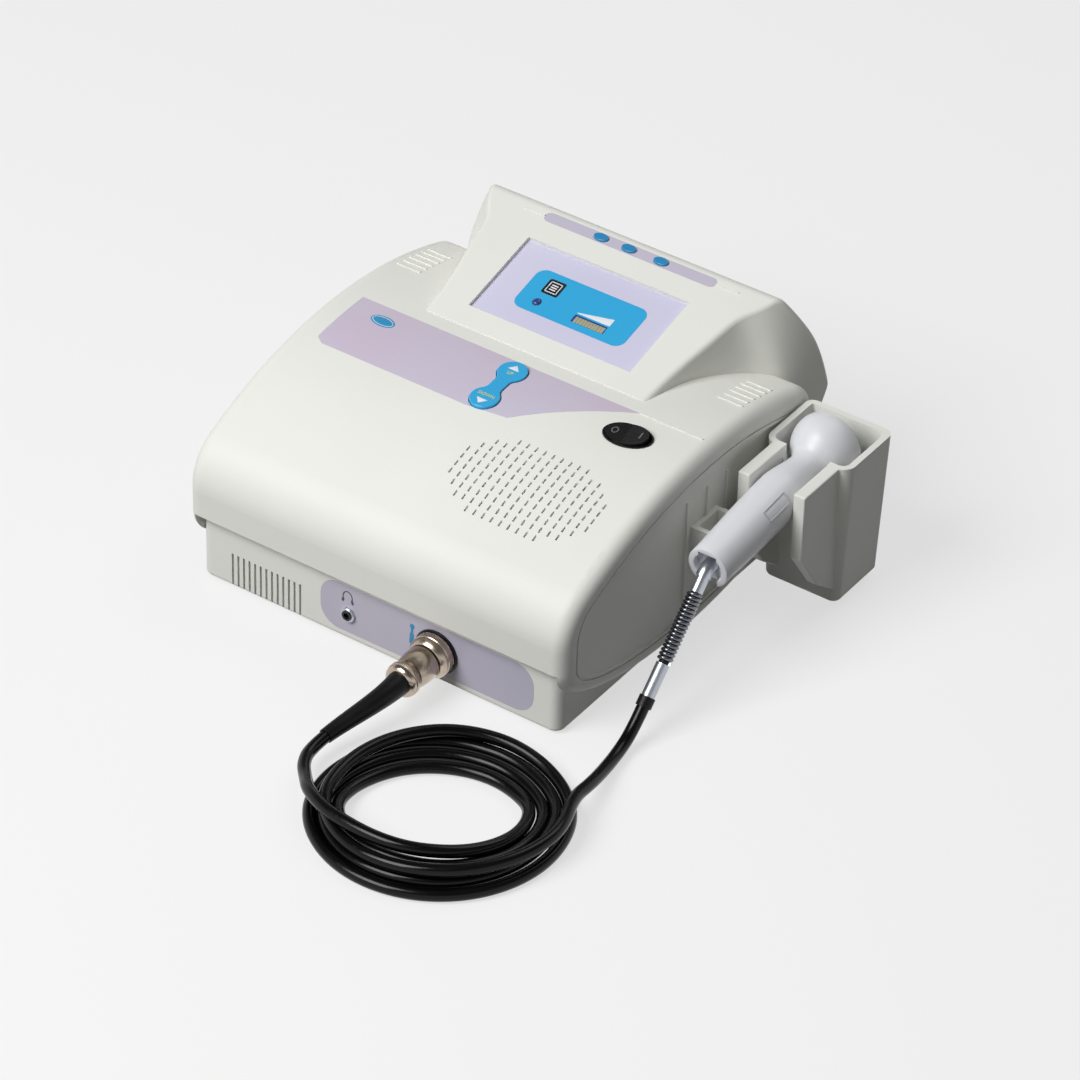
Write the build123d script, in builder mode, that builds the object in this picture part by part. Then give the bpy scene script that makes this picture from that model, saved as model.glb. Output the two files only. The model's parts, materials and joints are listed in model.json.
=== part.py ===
from build123d import *
import math
import os

# Desktop fetal doppler monitor: a domed cover with a display hood on a shallow tray, and a
# corded probe that rests in a holder and a cradle on the right side.
# Millimetres, +Z up. The origin is on the table, below the middle of the monitor's own box
# (case, hood and holder). Sizes below are measured in the case's frame: x from the middle of
# the case, y back from the tray's front wall, z up from the table.

# ---- tray ----
tray_width = 230.0
tray_depth = 222.0
tray_height = 42.0
tray_wall = 3.0
tray_floor = 3.0
tray_corner_radius = 6.0
tray_bottom_round = 2.2
foot_lift = 1.2
foot_radius = 8.0
foot_socket = 1.0
foot_inset_x = 23.0
foot_inset_y = 30.0

# ---- cover ----
cover_side_overhang = 5.5
cover_lip = 5.0
cover_back_overhang = 4.0
cover_wall = 3.0
crown_radius = 262.0
crown_peak_y = 129.0
crown_peak_z = 112.6
nose_radius = 31.0
cover_back_radius = 18.0
cover_edge_round = 8.0
skirt_drop = 40.0
skirt_gap = 0.4
rim_flange = 4.0
panel_inset = 10.5
panel_depth = 0.8
bead_width = 1.8
bead_gap = 1.2

# ---- hood ----
hood_front_y = 137.5
hood_front_z = 113.0
hood_tilt = 14.6
hood_crest_y = 231.0
hood_rear_y = 263.0
hood_rear_z = 70.0
hood_under_z = 55.0
hood_edge_round = 3.0
hood_face_wall = 5.5
# Half widths of the hood's plan at stations back from the front, for three heights.
hood_stations = (137.5, 169.0, 195.0, 209.0, 219.0, 232.0, 266.0)
hood_plan_heights = (50.0, 90.0, 140.0)
hood_half_widths = (
    (71.0, 78.0, 89.0, 97.0, 103.0, 105.5, 105.5),
    (71.0, 76.0, 86.5, 94.5, 102.5, 106.5, 107.0),
    (71.5, 73.2, 75.0, 78.0, 85.0, 92.0, 94.0),
)

# ---- display and hood keys, placed along the hood's sloping face ----
display_width = 103.4
display_length = 56.7
display_start = 13.5
display_recess = 3.0
overlay_thickness = 0.8
window_width = 70.5
window_length = 30.0
window_shift = 1.25
window_start = 26.3
window_corner = 6.0
module_margin = 4.5
module_depth = 12.0
sheet_clearance = 0.1
strip_width = 110.0
strip_length = 6.8
strip_shift = 2.2
strip_start = 84.3
strip_line_length = 14.5
strip_line_width = 1.2
strip_line_rise = 0.4
label_thickness = 0.4
hood_key_places = (-16.4, 1.6, 22.1)
hood_key_width = 9.0
hood_key_length = 5.2
hood_key_rise = 1.3
hood_key_travel = 0.8
key_clearance = 0.15
key_flange = 0.9
key_flange_thickness = 1.2

# ---- controls on the crown ----
power_x = 79.7
power_y = 108.0
power_turn = 8.0
power_half_length = 13.0
power_half_width = 8.0
power_rise = 1.6
power_dish = 5.0
power_skirt = 2.5
power_angle = 4.0
power_swing = 0.8
power_pivot_depth = 7.5
power_pin_radius = 1.0
power_pin_half = 8.0
power_web = (6.0, 11.0)
switch_body = (18.0, 22.0, 13.0)
switch_pocket = (14.0, 12.0, 8.0)
bezel_width = 1.0
bezel_depth = 5.0
bezel_rise = 0.6
bezel_flange = 2.0
rocker_y = 105.4
rocker_lobe_radius = 8.25
rocker_lobe_spacing = 24.9
rocker_waist = 8.6
rocker_waist_round = 6.0
rocker_rise = 1.0
rocker_thickness = 2.8
rocker_clearance = 0.45
rocker_pin_radius = 1.0
rocker_pin_depth = 3.6
ear_thickness = 3.0
ear_width = 5.0
ear_gap = 0.6
volume_board_depth = 8.0
board_thickness = 1.6

# ---- speaker ----
speaker_x = 56.0
speaker_y = 52.0
grille_half_x = 46.0
grille_half_y = 27.5
slot_width = 1.1
slot_length = 3.6
slot_pitch_x = 5.3
slot_pitch_y = 5.2
speaker_radius = 28.0
speaker_ring_wall = 2.5
speaker_drop = 12.0

# ---- marks on the cover ----
label_left = -104.0
label_tip = 74.0
label_back_y = 127.5
label_front_y = 84.0
label_cut_x = 18.6
label_sweep = (45.0, 109.2)
shoulder_rib_x = 96.0
shoulder_rib_length = 15.0
shoulder_rib_start = 168.0
shoulder_rib_pitch = 5.6
shoulder_rib_count = 6
shoulder_rib_rise = 0.6
shoulder_rib_width = 1.3
side_rib_places = (104.4, 123.0, 141.5)
side_rib_width = 1.6
side_rib_rise = 1.2
side_rib_top = 89.0
side_rib_bottom = 24.0

# ---- front wall ----
vent_count = 13
vent_start = -94.3
vent_pitch = 3.7
vent_width = 1.3
vent_top = 22.5
vent_reach = 9.0
front_label_left = -36.5
front_label_right = 99.0
front_label_bottom = 5.5
front_label_top = 36.0
jack_x = -18.2
jack_z = 17.8
jack_bore = 1.8
jack_barrel = 3.0
jack_nut_radius = 4.2
jack_depth = 14.0
fit_clearance = 0.05

# ---- probe socket and plug ----
socket_x = 38.2
socket_z = 19.8
socket_barrel = 8.0
socket_bore = 6.5
socket_reach = 9.0
gasket_radius = 14.2
gasket_thickness = 1.5
ring_radius = 14.0
ring_length = 8.8
ring_gap = 0.2
shell_radius = 7.5
shell_end = 26.0
back_nut_radius = 9.75
back_nut_length = 7.5
# Points along the boot's middle line: x, distance in front of the case, z and radius.
boot_stations = (
    (38.2, 33.5, 19.8, 6.6),
    (36.8, 50.0, 18.4, 5.6),
    (32.6, 66.0, 15.4, 4.8),
    (28.4, 82.0, 12.0, 4.1),
)

# ---- probe ----
ball_y = 193.0
ball_z = 86.0
ball_radius = 19.0
probe_slope = 6.4
neck_radius = 8.3
handle_radius = 13.0
neck_end = 31.0
shoulder_end = 46.0
handle_end = 103.0
collar_end = 112.0
collar_wall = 2.6
notch_reach = 3.0
neck_blend = 4.0
lens_seat = -5.0
lens_rise = 9.0
lens_step = 0.5
pad_start = 50.0
pad_length = 22.0
pad_width = 10.0
pad_depth = 0.8

# ---- strain relief, on a line in the plane of the probe ----
gland_radius = 4.2
ferrule_radius = 3.4
spring_radius = 4.3
spring_coils = 17
relief_angle = 45.5
gland_bend = 7.0
gland_tail = 4.5
ferrule_upper_length = 8.5
spring_length = 40.0
ferrule_lower_length = 18.5
sleeve_length = 5.8
sleeve_radius = 4.3

# ---- holder and cradle ----
holder_stand_off = 1.5
holder_side_room = 7.0
holder_front_room = 2.0
holder_back_room = 6.0
holder_rim_z = 92.0
holder_base_z = 3.0
holder_wall = 3.5
holder_corner = 5.0
holder_front_corner = 8.0
holder_foot_round = 3.0
holder_taper = 1.9
arm_reach = 32.0
arm_thickness = 7.0
arm_clearance = 1.0
arm_end_z = 52.0
arm_knee = (13.0, 25.0)
arm_foot_z = 12.0
arm_edge_round = 0.8
holder_pad_radius = 6.0
cradle_front_y = 109.0
cradle_back_y = 133.0
cradle_shy = 3.8
cradle_base_z = 52.0
cradle_top_z = 71.0
cradle_wall = 3.0
probe_rest_gap = 0.3
neck_swell = 0.9
holder_pad_heights = (40.0, 68.0)

# ---- inside ----
boss_inset_x = 15.0
boss_front_y = 20.0
boss_inset_back = 19.0
boss_radius = 5.0
boss_below_rim = 4.0
screw_radius = 1.5
screw_head_radius = 3.0
screw_head_height = 2.2
main_board_width = 130.0
main_board_length = 90.0
main_board_x = 30.0
main_board_inset = 77.0
main_board_z = 12.0
transformer_size = (46.0, 40.0, 34.0)
transformer_x = -72.0
transformer_y = 42.0
inlet_x = -70.0
inlet_z = 22.0
inlet_width = 27.0
inlet_height = 19.5
inlet_depth = 18.0
inlet_floor = 4.0
inlet_wall = 2.0
inlet_flange = (6.0, 5.0, 2.0)
inlet_pin = (2.0, 4.0)
inlet_pin_spread = 7.0
inlet_pin_lift = 4.0
inlet_pin_shy = 3.0

# ---- cord ----
cord_radius = 3.5
coil_x = 101.0
coil_y = -87.0
coil_outer = 71.5
coil_inner = 43.0
coil_height = 24.0
boot_pass = 18.0
# Points of the cord's two free lengths that follow its first run out of the sleeve or the boot.
first_run = 14.0
probe_run = ((149.0, 4.0, 4.2), (152.0, -13.0, 5.5), (155.5, -31.0, 9.5), (157.0, -48.0, 13.0))
boot_heading = (-0.1, -0.98, -0.12)
plug_first_run = 12.0
plug_run = ((31.6, -105.0, 10.8), (40.0, -114.0, 11.5))

# ---- values that follow ----
tray_half = tray_width / 2
cover_half = tray_half + cover_side_overhang
cover_front_y = -cover_lip
cover_back_y = tray_depth + cover_back_overhang
panel_x = cover_half - panel_depth
boss_x = tray_half - boss_inset_x
boss_back_y = tray_depth - boss_inset_back
boss_top_z = tray_height - boss_below_rim
main_board_y = tray_depth - main_board_inset
ball_x = cover_half + holder_stand_off + holder_side_room + ball_radius
holder_inner_x = ball_x - ball_radius - holder_side_room
holder_outer_x = ball_x + ball_radius + holder_side_room
holder_front_y = ball_y - ball_radius - holder_front_room
holder_back_y = ball_y + ball_radius + holder_back_room
arm_slot = 2 * handle_radius + arm_clearance
cradle_reach = ball_x - panel_x - cradle_shy
case_x = -(holder_outer_x - cover_half) / 2
case_y = -(hood_rear_y - socket_reach) / 2
hood_slope = math.radians(hood_tilt)
display_middle = display_start + display_length / 2
window_middle = window_start + window_length / 2
strip_middle = strip_start + strip_length / 2
ear_place = rocker_waist / 2 + rocker_clearance + ear_gap + ear_thickness / 2
pin_half_length = ear_place + ear_thickness / 2
holder_slot_x = (ball_x - arm_slot / 2, ball_x + arm_slot / 2)

os.makedirs("parts", exist_ok=True)


def level(z):
    """A plan plane at height z: local x and y are the case's x and y."""
    return Plane(origin=(case_x, case_y, z))


def side_plane(x):
    """A plane across the case at x, facing +X: local x is the case's y, local y its z."""
    return Plane(origin=(case_x + x, case_y, 0), x_dir=(0, 1, 0), z_dir=(1, 0, 0))


def front_plane(y):
    """A plane along the front at y, facing -Y: local x is the case's x, local y its z."""
    return Plane(origin=(case_x, case_y + y, 0), x_dir=(1, 0, 0), z_dir=(0, -1, 0))


def crown_z(y, inset=0.0):
    """Height of the cover's crown at y, or of the surface inset below it."""
    radius = crown_radius - inset
    return crown_peak_z - crown_radius + math.sqrt(radius**2 - (y - crown_peak_y) ** 2)


def crown_plane(x, y, depth=0.0):
    """A plane on the crown's normal at (x, y), depth below the surface."""
    lean = math.asin((y - crown_peak_y) / crown_radius)
    origin = (
        case_x + x,
        case_y + y - depth * math.sin(lean),
        crown_z(y) - depth * math.cos(lean),
    )
    return Plane(origin=origin, x_dir=(1, 0, 0), z_dir=(0, math.sin(lean), math.cos(lean)))


def face_plane(depth=0.0):
    """The hood's sloping face, depth below it: local y runs up the slope from its front edge."""
    sine, cosine = math.sin(hood_slope), math.cos(hood_slope)
    origin = (case_x, case_y + hood_front_y + depth * sine, hood_front_z - depth * cosine)
    return Plane(origin=origin, x_dir=(1, 0, 0), z_dir=(0, -sine, cosine))


def pin_plane(half_length):
    """The plane across the rocker's pin at its left end, facing +X."""
    middle = crown_plane(0, rocker_y, rocker_pin_depth).origin
    return Plane(origin=middle - Vector(half_length, 0, 0), x_dir=(0, 1, 0), z_dir=(1, 0, 0))


def power_plane(depth=0.0, tilt=0.0):
    """A plane at the power key, turned with it and tilted about its pivot; x runs along the key."""
    pivot = crown_plane(power_x, power_y, power_pivot_depth)
    x_dir = pivot.x_dir.rotate(Axis((0, 0, 0), pivot.z_dir), power_turn)
    hinge = Axis((0, 0, 0), pivot.z_dir.cross(x_dir))
    x_dir, z_dir = x_dir.rotate(hinge, tilt), pivot.z_dir.rotate(hinge, tilt)
    return Plane(origin=pivot.origin + z_dir * (power_pivot_depth - depth), x_dir=x_dir, z_dir=z_dir)


def probe_point(along):
    """Case y and z of the point on the probe's axis at a distance from the ball's centre."""
    slope = math.radians(probe_slope)
    return ball_y - along * math.cos(slope), ball_z - along * math.sin(slope)


def probe_plane(along=0.0):
    """The upright plane through the probe's axis: local x runs from the ball to the cord end."""
    slope = math.radians(probe_slope)
    y, z = probe_point(along)
    origin = (case_x + ball_x, case_y + y, z)
    return Plane(origin=origin, x_dir=(0, -math.cos(slope), -math.sin(slope)), z_dir=(1, 0, 0))


def place(x, y, z):
    """A point of the case's frame in the model's frame."""
    return Vector(case_x + x, case_y + y, z)


def crown_outline(inset, floor_z):
    """The cover's side outline above floor_z, drawn in by inset."""
    front, back = cover_front_y + inset, cover_back_y - inset
    with BuildSketch(Plane.XY) as outline:
        with BuildLine():
            Polyline(
                (back, crown_z(back, inset)),
                (back, floor_z),
                (front, floor_z),
                (front, crown_z(front, inset)),
            )
            ThreePointArc(
                (front, crown_z(front, inset)),
                (crown_peak_y, crown_peak_z - inset),
                (back, crown_z(back, inset)),
            )
        make_face()
        fillet(vertices().sort_by(Axis.X)[:2].sort_by(Axis.Y)[-1], max(nose_radius - inset, 1.0))
        fillet(vertices().sort_by(Axis.X)[-2:].sort_by(Axis.Y)[-1], max(cover_back_radius - inset, 1.0))
    return outline.sketch


def side_outline(inset):
    """The cover's whole side outline, crown and curved skirt, drawn in by inset."""
    crown = crown_outline(inset, tray_height)
    with BuildSketch(Plane.XY) as outline:
        add(crown)
        with BuildLine():
            Line((cover_front_y + inset, tray_height), (cover_back_y - inset, tray_height))
            EllipticalCenterArc(
                ((cover_front_y + cover_back_y) / 2, tray_height),
                (cover_back_y - cover_front_y) / 2 - inset,
                skirt_drop - inset,
                start_angle=180,
                arc_size=180,
            )
        make_face()
    return outline.sketch


def hood_plan(half_widths, inset):
    """The hood's plan at one height, with flaring sides, drawn in by inset."""
    front, back = hood_stations[0], hood_stations[-1]
    points = [(half - inset, y) for y, half in zip(hood_stations, half_widths)]
    with BuildSketch(Plane.XY) as plan:
        with BuildLine():
            Spline(points)
            Line((0, front), points[0])
            Line((0, back), points[-1])
            mirror(about=Plane.YZ)
        make_face()
    return plan.sketch


def hood_profile(face_inset, wall):
    """The hood's side outline, its face lowered by face_inset and the rest drawn in by wall."""
    drop = face_inset / math.cos(hood_slope)
    front, crest = hood_front_y + 2 * wall, hood_crest_y - 0.6 * wall
    with BuildSketch(Plane.XY) as profile:
        with BuildLine():
            FilletPolyline(
                (front, hood_front_z - 23),
                (front, hood_front_z - drop + (front - hood_front_y) * math.tan(hood_slope)),
                (crest, hood_front_z - drop + (crest - hood_front_y) * math.tan(hood_slope)),
                (hood_rear_y - 14 - wall, hood_rear_z + 36),
                (hood_rear_y - wall, hood_rear_z),
                (hood_rear_y - 6 - wall, hood_under_z + 1 + wall),
                (tray_depth, hood_under_z - 1 + wall),
                radius=(0, 0, 7 - wall, 120, 8 - wall, 3, 0),
                close=True,
            )
        make_face()
    return profile.sketch


def hood_form(face_inset, wall):
    """The hood's form between its flaring sides, as a solid drawn in by wall."""
    plans = [hood_plan(half_widths, wall) for half_widths in hood_half_widths]
    profile = hood_profile(face_inset, wall)
    with BuildPart() as form:
        for z, plan in zip(hood_plan_heights, plans):
            with BuildSketch(level(z)):
                add(plan)
        loft()
        with BuildSketch(side_plane(-cover_half)):
            add(profile)
        extrude(amount=2 * cover_half, mode=Mode.INTERSECT)
    return form


def label_outline(inset):
    """The cover label's plan: a band with a cut corner, its right end swept to a point."""
    with BuildSketch(Plane.XY) as outline:
        with BuildLine():
            Polyline(
                (label_cut_x, label_front_y + 2.8),
                (-6.0, label_front_y),
                (label_left + 5, label_front_y),
                (label_left, label_front_y + 3.5),
                (label_left, label_back_y),
                (label_tip, label_back_y),
            )
            ThreePointArc((label_tip, label_back_y), label_sweep, (label_cut_x, label_front_y + 2.8))
        make_face()
        if inset:
            offset(amount=-inset)
    return outline.sketch


def rocker_outline(grow):
    """The volume rocker's dumbbell outline, grown by a clearance."""
    with BuildSketch(Plane.XY) as outline:
        with Locations((0, -rocker_lobe_spacing / 2), (0, rocker_lobe_spacing / 2)):
            Circle(rocker_lobe_radius)
        Rectangle(rocker_waist, rocker_lobe_spacing)
        inner = vertices().filter_by_position(Axis.Y, -rocker_lobe_spacing / 3, rocker_lobe_spacing / 3)
        fillet(inner, rocker_waist_round)
        if grow:
            offset(amount=grow)
    return outline.sketch


def crown_slab(top, bottom):
    """The cover's skin between two depths, the whole width, for marks that follow the crown."""
    upper = crown_outline(top, tray_height + 10)
    lower = crown_outline(bottom, tray_height)
    with BuildPart() as slab:
        with BuildSketch(side_plane(-tray_half)):
            add(upper)
            add(lower, mode=Mode.SUBTRACT)
        extrude(amount=tray_width)
    return slab.part


def holder_plan(inset):
    """The holder's plan at its rim, drawn in by inset."""
    with BuildSketch(Plane.XY) as plan:
        with Locations((ball_x, (holder_front_y + holder_back_y) / 2)):
            Rectangle(
                holder_outer_x - holder_inner_x - 2 * inset, holder_back_y - holder_front_y - 2 * inset
            )
        fillet(plan.vertices().group_by(Axis.Y)[0], max(holder_front_corner - inset, 1.0))
        fillet(plan.vertices().group_by(Axis.Y)[-1], max(holder_corner - inset, 1.0))
    return plan.sketch


def holder_arm(x):
    """One arm of the holder, between x and x + arm_thickness, its edges softened."""
    wall_y = holder_front_y + holder_wall
    with BuildPart() as arm:
        with BuildSketch(side_plane(x)):
            with BuildLine():
                Polyline(
                    (wall_y + 1, holder_rim_z),
                    (holder_front_y - arm_reach, holder_rim_z),
                    (holder_front_y - arm_reach, arm_end_z),
                    (holder_front_y - arm_knee[0], arm_knee[1]),
                    (wall_y, arm_foot_z),
                    (wall_y + 1, arm_foot_z),
                    close=True,
                )
            make_face()
        extrude(amount=arm_thickness)
        front = arm.part.edges().filter_by(lambda edge: (edge @ 0.5).Y < case_y + holder_front_y - 2)
        fillet(front, arm_edge_round)
    return arm.part


def relief_point(along):
    """Point of the case's frame on the strain relief's line, along from its bend at the collar."""
    bend_y, bend_z = probe_point(collar_end + 0.6)
    angle = math.radians(relief_angle)
    return ball_x, bend_y - along * math.cos(angle), bend_z - along * math.sin(angle)


def relief_plane(along):
    """A plane across the strain relief, facing down along it."""
    direction = Vector(*relief_point(1)) - Vector(*relief_point(0))
    return Plane(origin=place(*relief_point(along)), x_dir=(1, 0, 0), z_dir=direction)


def cord_tube(route, name):
    """A length of cord: straight runs joined by the largest arcs that they allow."""
    runs = [(after - before).length for before, after in zip(route, route[1:])]
    radii = []
    for corner in range(1, len(route) - 1):
        turn = (route[corner] - route[corner - 1]).get_angle(route[corner + 1] - route[corner])
        shorter = min(runs[corner - 1], runs[corner])
        radii.append(0.45 * shorter / math.tan(math.radians(turn / 2)))
    print(name, "runs", [round(run, 1) for run in runs], "radii", [round(r, 1) for r in radii])
    with BuildPart() as tube:
        with BuildLine() as path:
            FilletPolyline(*route, radius=radii)
        with BuildSketch(Plane(origin=path.line @ 0, z_dir=path.line % 0)):
            Circle(cord_radius)
        sweep(path=path.line)
    length = sum(edge.length for edge in path.edges())
    share = tube.part.volume / (math.pi * cord_radius**2 * length)
    print(name, "length", round(length, 1), "volume share of its section", round(share, 4))
    return tube


def hand_in(part, label):
    """Labels a finished piece and writes its STEP file."""
    part.label = label
    export_step(part, f"parts/{label}.step")


# ---- upper cover: crown, skirts, hood, panels, grille and openings ----
outer_side = side_outline(0)
inner_crown = crown_outline(cover_wall, tray_height + rim_flange)
bead_outer = side_outline(panel_inset + bead_gap)
bead_inner = side_outline(panel_inset + bead_gap + bead_width)
panel_side = side_outline(panel_inset)
hood_outer = hood_form(0, 0)
with hood_outer:
    face_edges = hood_outer.part.edges().filter_by(
        lambda edge: abs((edge @ 0.5).X - case_x) > 60 and (edge @ 0.5).Z > hood_front_z + 8
    )
    fillet(face_edges, hood_edge_round)
hood_cavity = hood_form(hood_face_wall, cover_wall)
label_recess = label_outline(0)
rocker_hole = rocker_outline(rocker_clearance)

with BuildPart() as upper_cover:
    with BuildSketch(side_plane(-cover_half)):
        add(outer_side)
    extrude(amount=2 * cover_half)
    fillet(upper_cover.part.faces().filter_by(Axis.X).edges(), cover_edge_round)
    add(hood_outer.part)
    # the space inside: crown, rim flange, hood, and the tray's own width between the skirts
    with BuildSketch(side_plane(-(cover_half - cover_wall))):
        add(inner_crown)
    extrude(amount=2 * (cover_half - cover_wall), mode=Mode.SUBTRACT)
    add(hood_cavity.part, mode=Mode.SUBTRACT)
    with BuildSketch(level(tray_height - 1)):
        with Locations((0, tray_depth / 2)):
            Rectangle(tray_width - 2 * tray_wall, tray_depth - 2 * tray_wall)
    extrude(amount=rim_flange + 2, mode=Mode.SUBTRACT)
    with BuildSketch(side_plane(-(tray_half + skirt_gap))):
        with Locations((tray_depth / 2, 0)):
            Rectangle(2 * tray_depth, 2 * tray_height)
    extrude(amount=2 * (tray_half + skirt_gap), mode=Mode.SUBTRACT)
    # side panels, each with a bead around it
    for x, way in ((cover_half, -1), (-cover_half, 1)):
        with BuildSketch(side_plane(x)):
            add(panel_side)
            add(bead_outer, mode=Mode.SUBTRACT)
            add(bead_inner)
        extrude(amount=way * panel_depth, mode=Mode.SUBTRACT)
    # upright ribs on the right panel
    with BuildSketch(side_plane(panel_x - 0.5)):
        for y in side_rib_places:
            with Locations((y, (side_rib_top + side_rib_bottom) / 2)):
                SlotOverall(side_rib_top - side_rib_bottom, side_rib_width, rotation=90)
    extrude(amount=side_rib_rise + 0.5)
    # bosses for the case screws, hanging from the crown
    with BuildSketch(level(boss_top_z)):
        with Locations((-boss_x, boss_front_y), (boss_x, boss_front_y)):
            Circle(boss_radius)
    extrude(amount=crown_z(boss_front_y) - cover_wall / 2 - boss_top_z - 1)
    with BuildSketch(level(boss_top_z)):
        with Locations((-boss_x, boss_back_y), (boss_x, boss_back_y)):
            Circle(boss_radius)
    extrude(amount=crown_z(boss_back_y) - cover_wall / 2 - boss_top_z - 1)
    with BuildSketch(level(boss_top_z)):
        with Locations(
            (-boss_x, boss_front_y), (boss_x, boss_front_y), (-boss_x, boss_back_y), (boss_x, boss_back_y)
        ):
            Circle(screw_radius + fit_clearance)
    extrude(amount=14, mode=Mode.SUBTRACT)
    # speaker ring under the grille
    with BuildSketch(crown_plane(speaker_x, speaker_y, speaker_drop)):
        Circle(speaker_radius + speaker_ring_wall)
        Circle(speaker_radius - speaker_ring_wall, mode=Mode.SUBTRACT)
    extrude(amount=speaker_drop - cover_wall / 2 - 1.2)
    # speaker grille: short slots in an ellipse
    columns = int(grille_half_x / slot_pitch_x)
    rows = int(grille_half_y / slot_pitch_y) + 1
    slots = [
        (speaker_x + column * slot_pitch_x, speaker_y + (row + 0.5) * slot_pitch_y)
        for column in range(-columns, columns + 1)
        for row in range(-rows, rows)
        if math.hypot(column * slot_pitch_x / grille_half_x, (row + 0.5) * slot_pitch_y / grille_half_y) < 0.97
    ]
    with BuildSketch(level(crown_z(0))):
        with Locations(slots):
            Rectangle(slot_width, slot_length)
    extrude(amount=crown_peak_z - crown_z(0) + 5, mode=Mode.SUBTRACT)
    # power key opening and volume rocker opening
    with BuildSketch(power_plane(cover_wall + 2)):
        Ellipse(
            power_half_length + bezel_width + key_clearance + fit_clearance,
            power_half_width + bezel_width + key_clearance + fit_clearance,
        )
    extrude(amount=cover_wall + 6, mode=Mode.SUBTRACT)
    with BuildSketch(crown_plane(0, rocker_y, cover_wall + 2)):
        add(rocker_hole)
    extrude(amount=cover_wall + 6, mode=Mode.SUBTRACT)
    # ears that carry the rocker's pin and its board
    with BuildSketch(crown_plane(0, rocker_y, volume_board_depth)):
        with Locations((-ear_place, 0), (ear_place, 0)):
            Rectangle(ear_thickness, ear_width)
    extrude(amount=volume_board_depth - cover_wall + 0.5)
    with BuildSketch(pin_plane(pin_half_length + 1)):
        Circle(rocker_pin_radius + fit_clearance / 2)
    extrude(amount=2 * pin_half_length + 2, mode=Mode.SUBTRACT)
    # sloping face: display recess, module opening, strip recess and key holes
    with BuildSketch(face_plane(display_recess)):
        with Locations((0, display_middle)):
            Rectangle(display_width, display_length)
    extrude(amount=display_recess + 2, mode=Mode.SUBTRACT)
    with BuildSketch(face_plane(hood_face_wall + 1)):
        with Locations((window_shift, window_middle)):
            Rectangle(window_width + 2 * module_margin, window_length + module_margin)
    extrude(amount=hood_face_wall - display_recess + 2, mode=Mode.SUBTRACT)
    with BuildSketch(face_plane(label_thickness)):
        with Locations((strip_shift, strip_middle)):
            SlotOverall(strip_width, strip_length)
    extrude(amount=2, mode=Mode.SUBTRACT)
    with BuildSketch(face_plane(hood_face_wall + 1)):
        with Locations([(x, strip_middle) for x in hood_key_places]):
            Ellipse(hood_key_width / 2 + key_clearance, hood_key_length / 2 + key_clearance)
    extrude(amount=hood_face_wall + 3, mode=Mode.SUBTRACT)
    # raised lines that carry the strip on towards the hood's corners
    with BuildSketch(face_plane(strip_line_width)):
        for side in (-1, 1):
            with Locations((strip_shift + side * (strip_width + strip_line_length) / 2, strip_middle)):
                SlotOverall(strip_line_length, strip_line_width)
    extrude(amount=strip_line_width + strip_line_rise)
    # posts for the hood's key board
    with BuildSketch(face_plane(10)):
        with Locations((-28, strip_start - 1), (34, strip_start - 1)):
            Circle(2.5)
    extrude(amount=10 - hood_face_wall + 0.5)

label_skin = crown_slab(0, label_thickness)
mark_skin = crown_slab(-shoulder_rib_rise, 0.3)
with BuildPart() as recess_tool:
    with BuildSketch(level(tray_height)):
        add(label_recess)
    extrude(amount=100)
    add(label_skin, mode=Mode.INTERSECT)
with BuildPart() as mark_tool:
    with BuildSketch(level(tray_height)):
        for side in (-1, 1):
            for rib in range(shoulder_rib_count):
                with Locations(
                    (
                        side * (shoulder_rib_x + shoulder_rib_length / 2),
                        shoulder_rib_start + rib * shoulder_rib_pitch,
                    )
                ):
                    Rectangle(shoulder_rib_length, shoulder_rib_width)
        with Locations(((label_tip + 113) / 2, label_back_y)):
            Rectangle(113 - label_tip, 1.0)
    extrude(amount=100)
    add(mark_skin, mode=Mode.INTERSECT)
with upper_cover:
    add(recess_tool.part, mode=Mode.SUBTRACT)
    add(mark_tool.part)
hand_in(upper_cover.part, "upper_cover")

# ---- cover label, cut out around the rocker ----
label_plan = label_outline(sheet_clearance)
with BuildPart() as cover_label:
    with BuildSketch(level(tray_height)):
        add(label_plan)
    extrude(amount=100)
    with BuildSketch(crown_plane(0, rocker_y, cover_wall)):
        add(rocker_hole)
    extrude(amount=cover_wall + 100, mode=Mode.SUBTRACT)
    add(label_skin, mode=Mode.INTERSECT)
hand_in(cover_label.part, "cover_label")

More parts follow.
